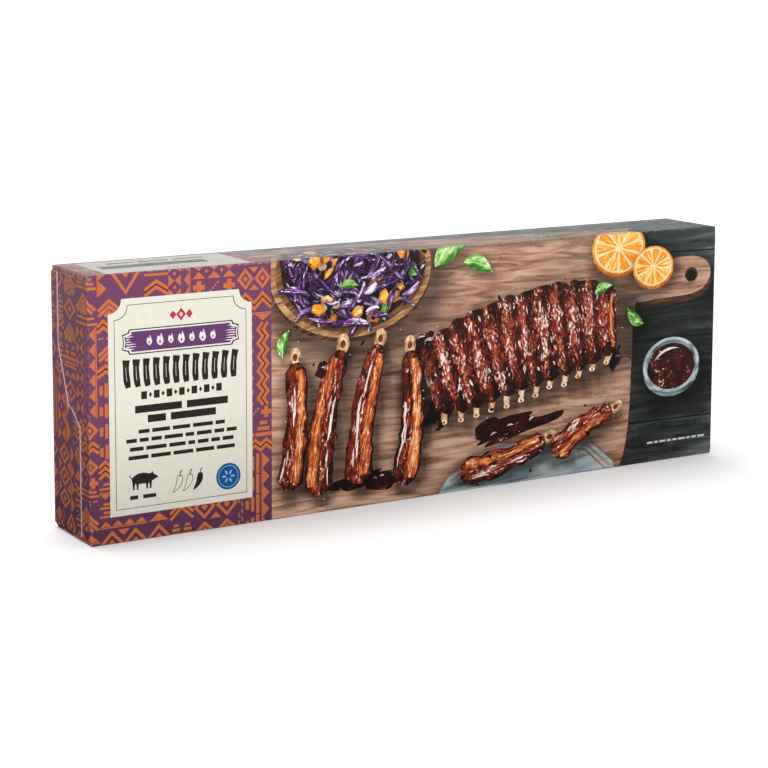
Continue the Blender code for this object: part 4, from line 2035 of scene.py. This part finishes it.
    def add_map(self, mesh: bpy.types.Mesh, flat: np.ndarray, loop: list[int],
                back_of: dict[int, int]) -> None:
        """Lays the faces out for the bake, in rows that fill a square, with the cut edge beside the print.

        Args:
            mesh: The panel's mesh.
            flat: Its points' places on the blank.
            loop: The points round its border.
            back_of: The back face's point behind each of those.
        """
        left, right, low, high = self.limits()
        row_wide, row_tall = (right - left) / self.rows, high - low + 4 * BOARD
        side = max(row_wide, row_tall * self.rows) * (1 + self.map_margin)
        spread = flat.copy()
        for before, here, after in zip(loop[-1:] + loop[:-1], loop, loop[1:] + loop[:1]):
            along = Vector(flat[after] - flat[before]).normalized()
            spread[back_of[here]] = flat[here] + np.array((along.y, -along.x)) * BOARD
        values = np.zeros((len(mesh.loops), 2), np.float32)
        for polygon in mesh.polygons:
            corners = spread[list(polygon.vertices)]
            row = min(self.rows - 1, max(0, int((corners[:, 0].mean() - left) / row_wide)))
            shifted = corners - (left + row * row_wide, low - row * row_tall - BOARD)
            values[list(polygon.loop_indices)] = shifted / side + 0.4 * self.map_margin
        mesh.uv_layers.new(name="OFBake").data.foreach_set("uv", values.ravel())

    def add_normals(self, mesh: bpy.types.Mesh, normals: Sequence[Vector], printed: int) -> None:
        """Shades the printed side as one smooth sheet, and the rim and the back face by face.

        Args:
            mesh: The panel's mesh.
            normals: The normals of the printed side's points.
            printed: How many printed faces there are.
        """
        mesh.shade_smooth()
        values = [normals[index] if polygon.index < printed else polygon.normal
                  for polygon in mesh.polygons for index in polygon.vertices]
        mesh.normals_split_custom_set(values)


@dataclass
class Carton:
    """The whole carton: its print and its four panels."""

    dust_flap: float = 12.0
    glue_flap: float = 12.0
    inner_flap_short: float = 3.0
    strip_width: float = 7.8
    tab_width: float = 33.2
    tab_shoulder: float = 20.0
    tab_top_run: float = 3.0
    strip_foot: float = 92.0
    tab_top: float = 63.6
    tab_drop: float = 7.8

    def printed(self) -> Sheet:
        """Draws the print of the whole blank.

        Returns:
            The print.
        """
        sheet = Sheet()
        far = OUTER_FOLD_X + DEPTH
        FoodPicture(sheet).draw()
        for seed, left, low, right, high in (
            (3, -far, -6.0, PATTERN_END, BACK_HEAD),
            (8, -far, BACK_HEAD, PATTERN_END, BACK_FOOT - self.glue_flap),
            (34, PATTERN_END, BACK_HEAD, far, BACK_FOOT - self.glue_flap),
            (15, -far, BACK_FOOT - self.glue_flap, far, GIRTH + 6.0),
            (21, INNER_FOLD_X + 0.9, -6.0, far, BACK_HEAD),
        ):
            PatternPrint(sheet, seed).fill(left, low, right, high)
        LabelPrint(sheet).draw()
        top = SmallLabel(sheet, -LENGTH / 2 + 11.0, FRONT_HEAD + 1.8, -LENGTH / 2 + 88.0, BACK_HEAD - 3.6)
        top.draw([(FRONT_HEAD + 31.0, 3.0, 52.0), (FRONT_HEAD + 20.0, 9.0, 68.0)])
        back = SmallLabel(sheet, -118.0, BACK_HEAD + 14.0, 150.0, BACK_FOOT - 16.0, True, 9)
        back.draw([(BACK_HEAD + 26.0 + 5.2 * row, 1.8, 236.0 - 24.0 * (row % 3 == 2)) for row in range(13)])
        base = SmallLabel(sheet, -60.0, BACK_FOOT + 10.0, 60.0, GIRTH - 10.0, False, 4)
        rows = ((16.0, 96.0), (21.0, 90.0), (26.0, 60.0))
        base.draw([(BACK_FOOT + up, 1.6, whole) for up, whole in rows], False)
        return sheet

    def with_flaps(self, low: float, high: float, flap: Outline) -> Outline:
        """Joins a panel's rectangle and its end flaps, given as the right one's edge from low to high."""
        half = [(DUST_FOLD_X, low), *flap, (DUST_FOLD_X, high)]
        return [(-DUST_FOLD_X, low), *half, *((-x, v) for x, v in half[:0:-1])]

    def plain_outline(self, low: float, high: float, first: float, last: float, reach: float) -> Outline:
        """Gives a panel from low to high with square end flaps from first to last that end at reach."""
        flap = [(DUST_FOLD_X, first), (reach, first), (reach, last), (DUST_FOLD_X, last)]
        return self.with_flaps(low, high, flap)

    def back_outline(self) -> Outline:
        """Gives the back panel with its outer end flaps, each a strip above a wide tab.

        Returns:
            The outline.
        """
        top, foot = BACK_HEAD + FLAP_TO_FOLD, BACK_FOOT - FLAP_TO_FOLD
        strip_foot, tab_top = BACK_FOOT - self.strip_foot, BACK_FOOT - self.tab_top
        tab_end = self.tab_shoulder + self.tab_top_run
        steps = [(self.strip_width, top), (self.strip_width, strip_foot), (self.tab_shoulder, tab_top),
                 (tab_end, tab_top), (self.tab_width, tab_top + self.tab_drop), (self.tab_width, foot)]
        edge = [(OUTER_FOLD_X + out, v) for out, v in steps]
        flap = [(DUST_FOLD_X, top), *edge, (DUST_FOLD_X, foot)]
        return self.with_flaps(BACK_HEAD, BACK_FOOT - SEAM_HEIGHT, flap)

    def build(self) -> list[bpy.types.Object]:
        """Builds the four panels.

        Returns:
            The pieces.
        """
        sheet = self.printed()
        tuck = BOARD + 0.1
        dust_end, inner_end = DUST_FOLD_X + self.dust_flap, INNER_FOLD_X + DEPTH - self.inner_flap_short
        front = self.plain_outline(FRONT_FOOT, FRONT_HEAD, FLAP_TO_FOLD, HEIGHT - FLAP_TO_FOLD, inner_end)
        top = self.plain_outline(FRONT_HEAD, BACK_HEAD, FRONT_HEAD + tuck, BACK_HEAD - tuck, dust_end)
        seam = BACK_FOOT - self.glue_flap
        bottom = self.plain_outline(seam, GIRTH, BACK_FOOT + tuck, GIRTH - tuck, dust_end)
        panels = (
            Panel("front_panel", SLEEVE, front, INNER_FOLD_X, (FRONT_FOOT, FRONT_HEAD), 0.5, 2, 3.2),
            Panel("top_panel", SLEEVE, top, DUST_FOLD_X, (FRONT_HEAD, BACK_HEAD), 0.15, 3, 4.0),
            Panel("back_panel", SLEEVE, self.back_outline(), OUTER_FOLD_X, (BACK_HEAD, BACK_FOOT), 0.5),
            Panel("bottom_panel", UNDERSIDE, bottom, DUST_FOLD_X, (BACK_FOOT, GIRTH), 0.0, 3),
        )
        made = []
        for panel in panels:
            piece = panel.build(sheet)
            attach(piece, BODY)
            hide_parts(NODE)
            faces, inks = len(piece.data.polygons), len(piece.data.materials)
            LOG.info("%s: %d faces, %d inks", piece.name, faces, inks)
            made.append(piece)
        return made


@dataclass
class Studio:
    """The pale floor, the soft light and the camera.

    Attributes:
        camera_place: Where the camera stands, in carton lengths.
        yaw: How far it is turned, in degrees, as are pitch and roll.
        lens: Its focal length, in millimetres.
        shift: Its vertical shift.
        floor_size: The floor's side, in metres.
        sky: The light all round, as (degrees over the horizon, brightness).
        dim: Where the sky is dimmer: the middle of that part and half its core's and whole width, in degrees
            from the back towards the right.
        dimmed: What is left of the light there.
    """

    camera_place: tuple[float, float, float] = (-1.4636, -2.3495, 0.7104)
    yaw: float = 31.226
    pitch: float = 7.216
    roll: float = 0.191
    lens: float = 95.40
    shift: float = -0.2
    floor_size: float = 60.0
    sky: tuple[tuple[float, float], ...] = (
        (-90.0, 0.06), (-12.0, 0.06), (-2.0, 1.12), (8.0, 1.12), (22.0, 0.38), (90.0, 0.14),
    )
    dim: tuple[float, float, float] = (64.0, 10.0, 40.0)
    dimmed: float = 0.12

    def build(self, pieces: Sequence[bpy.types.Object]) -> None:
        """Builds the stage round the carton's pieces.

        Args:
            pieces: Those pieces.
        """
        self.add_camera()
        self.add_world()
        floor = self.add_floor()
        self.add_lamp("AREA", "key", (-0.28, -0.62, 0.38), 0.45, 3.7, pieces)
        self.add_lamp("AREA", "fill", (0.42, 0.74, 0.20), 0.6, 4.0, pieces)
        self.add_lamp("AREA", "bounce", (-0.27, 0.04, 0.012), 0.06, 0.018, pieces)
        self.add_lamp("SUN", "over", (0.0, 0.20, 0.9), math.radians(52), 2.7, [floor])
        bpy.context.scene.view_settings.view_transform = "Standard"

    def add_camera(self) -> None:
        """Places the camera where the photograph was taken from."""
        data = bpy.data.cameras.new("camera")
        camera = bpy.data.objects.new("camera", data)
        bpy.context.scene.collection.objects.link(camera)
        yaw, pitch, roll = (math.radians(a) for a in (self.yaw, self.pitch, self.roll))
        level_reach = math.cos(pitch)
        forward = Vector((math.sin(yaw) * level_reach, math.cos(yaw) * level_reach, -math.sin(pitch)))
        level = Vector((math.cos(yaw), -math.sin(yaw), 0.0))
        upward = level.cross(forward)
        right = level * math.cos(roll) + upward * math.sin(roll)
        up = upward * math.cos(roll) - level * math.sin(roll)
        turn = Matrix((right, up, -forward)).transposed().to_4x4()
        camera.matrix_world = Matrix.Translation(Vector(self.camera_place) * LENGTH * MM) @ turn
        data.sensor_width = 36.0
        data.lens = self.lens
        data.shift_y = self.shift
        bpy.context.scene.camera = camera

    def add_floor(self) -> bpy.types.Object:
        """Makes the floor, which glows a little so that it stays white under soft light.

        Returns:
            The floor.
        """
        half = self.floor_size / 2
        mesh = bpy.data.meshes.new("floor")
        mesh.from_pydata([(x, y, 0.0) for x, y in box(-half, -half, half, half)], [], [(0, 1, 2, 3)])
        floor = bpy.data.objects.new("floor", mesh)
        bpy.context.scene.collection.objects.link(floor)
        material = bpy.data.materials.new("floor")
        material.use_nodes = True
        surface = material.node_tree.nodes["Principled BSDF"]
        surface.inputs["Base Color"].default_value = (0.85, 0.85, 0.85, 1)
        surface.inputs["Roughness"].default_value = 0.9
        surface.inputs["Specular IOR Level"].default_value = 0.0
        surface.inputs["Emission Color"].default_value = (1, 1, 1, 1)
        surface.inputs["Emission Strength"].default_value = 0.22
        mesh.materials.append(material)
        floor.visible_diffuse = False
        floor.visible_glossy = False
        return floor

    def add_world(self) -> None:
        """Makes the soft light all round, brightest about the horizon and dimmer behind on the right."""
        world = bpy.data.worlds.new("studio")
        bpy.context.scene.world = world
        world.use_nodes = True
        nodes = NodeMaker(world.node_tree)
        rightward, backward, height = nodes.parts(nodes.add("ShaderNodeTexCoord").outputs["Generated"])
        angle = nodes.math("ARCSINE", height)
        ramp = nodes.add("ShaderNodeValToRGB")
        nodes.feed(ramp.inputs["Fac"], nodes.spread(angle, -math.pi / 2, math.pi / 2))
        marks = ramp.color_ramp.elements
        while len(marks) < len(self.sky):
            marks.new(0.5)
        for mark, (degrees, tone) in zip(marks, self.sky):
            mark.position = (degrees + 90) / 180
            mark.color = (tone, tone, tone, 1)
        middle, core, width = (math.radians(a) for a in self.dim)
        away = nodes.math("SUBTRACT", nodes.math("ARCTAN2", rightward, backward), middle)
        background = world.node_tree.nodes["Background"]
        nodes.feed(background.inputs["Color"], ramp.outputs["Color"])
        strength = nodes.spread(nodes.math("ABSOLUTE", away), core, width, self.dimmed, 1.0)
        nodes.feed(background.inputs["Strength"], strength)

    def add_lamp(self, kind: str, name: str, place: Sequence[float], size: float, power: float,
                 lit: Sequence[bpy.types.Object]) -> None:
        """Adds one soft lamp that looks at the carton's middle and isn't seen itself.

        Args:
            kind: Blender's name for the kind of lamp.
            name: Its name.
            place: Where it stands, in metres.
            size: Its side in metres, or a sun's width in radians.
            power: Its power in watts, or a sun's in watts for each square metre.
            lit: The only objects that it lights.
        """
        data = bpy.data.lights.new(name, kind)
        setattr(data, "angle" if kind == "SUN" else "size", size)
        data.energy = power
        lamp = bpy.data.objects.new(name, data)
        bpy.context.scene.collection.objects.link(lamp)
        lamp.location = place
        aim = Vector((0.0, 0.0, HEIGHT * MM / 2)) - Vector(place)
        lamp.rotation_euler = aim.to_track_quat("-Z", "Y").to_euler()
        lamp.visible_camera = False
        lamp.visible_glossy = False
        lamp.light_linking.receiver_collection = bpy.data.collections.new("lit_by_" + name)
        for one in lit:
            lamp.light_linking.receiver_collection.objects.link(one)


def main() -> None:
    """Builds the dressed carton and its studio."""
    logging.basicConfig(level=logging.INFO, format="%(name)s: %(message)s")
    pieces = Carton().build()
    LOG.info("%d pieces made", len(pieces))
    Studio().build(pieces)


if __name__ == "__main__":
    main()
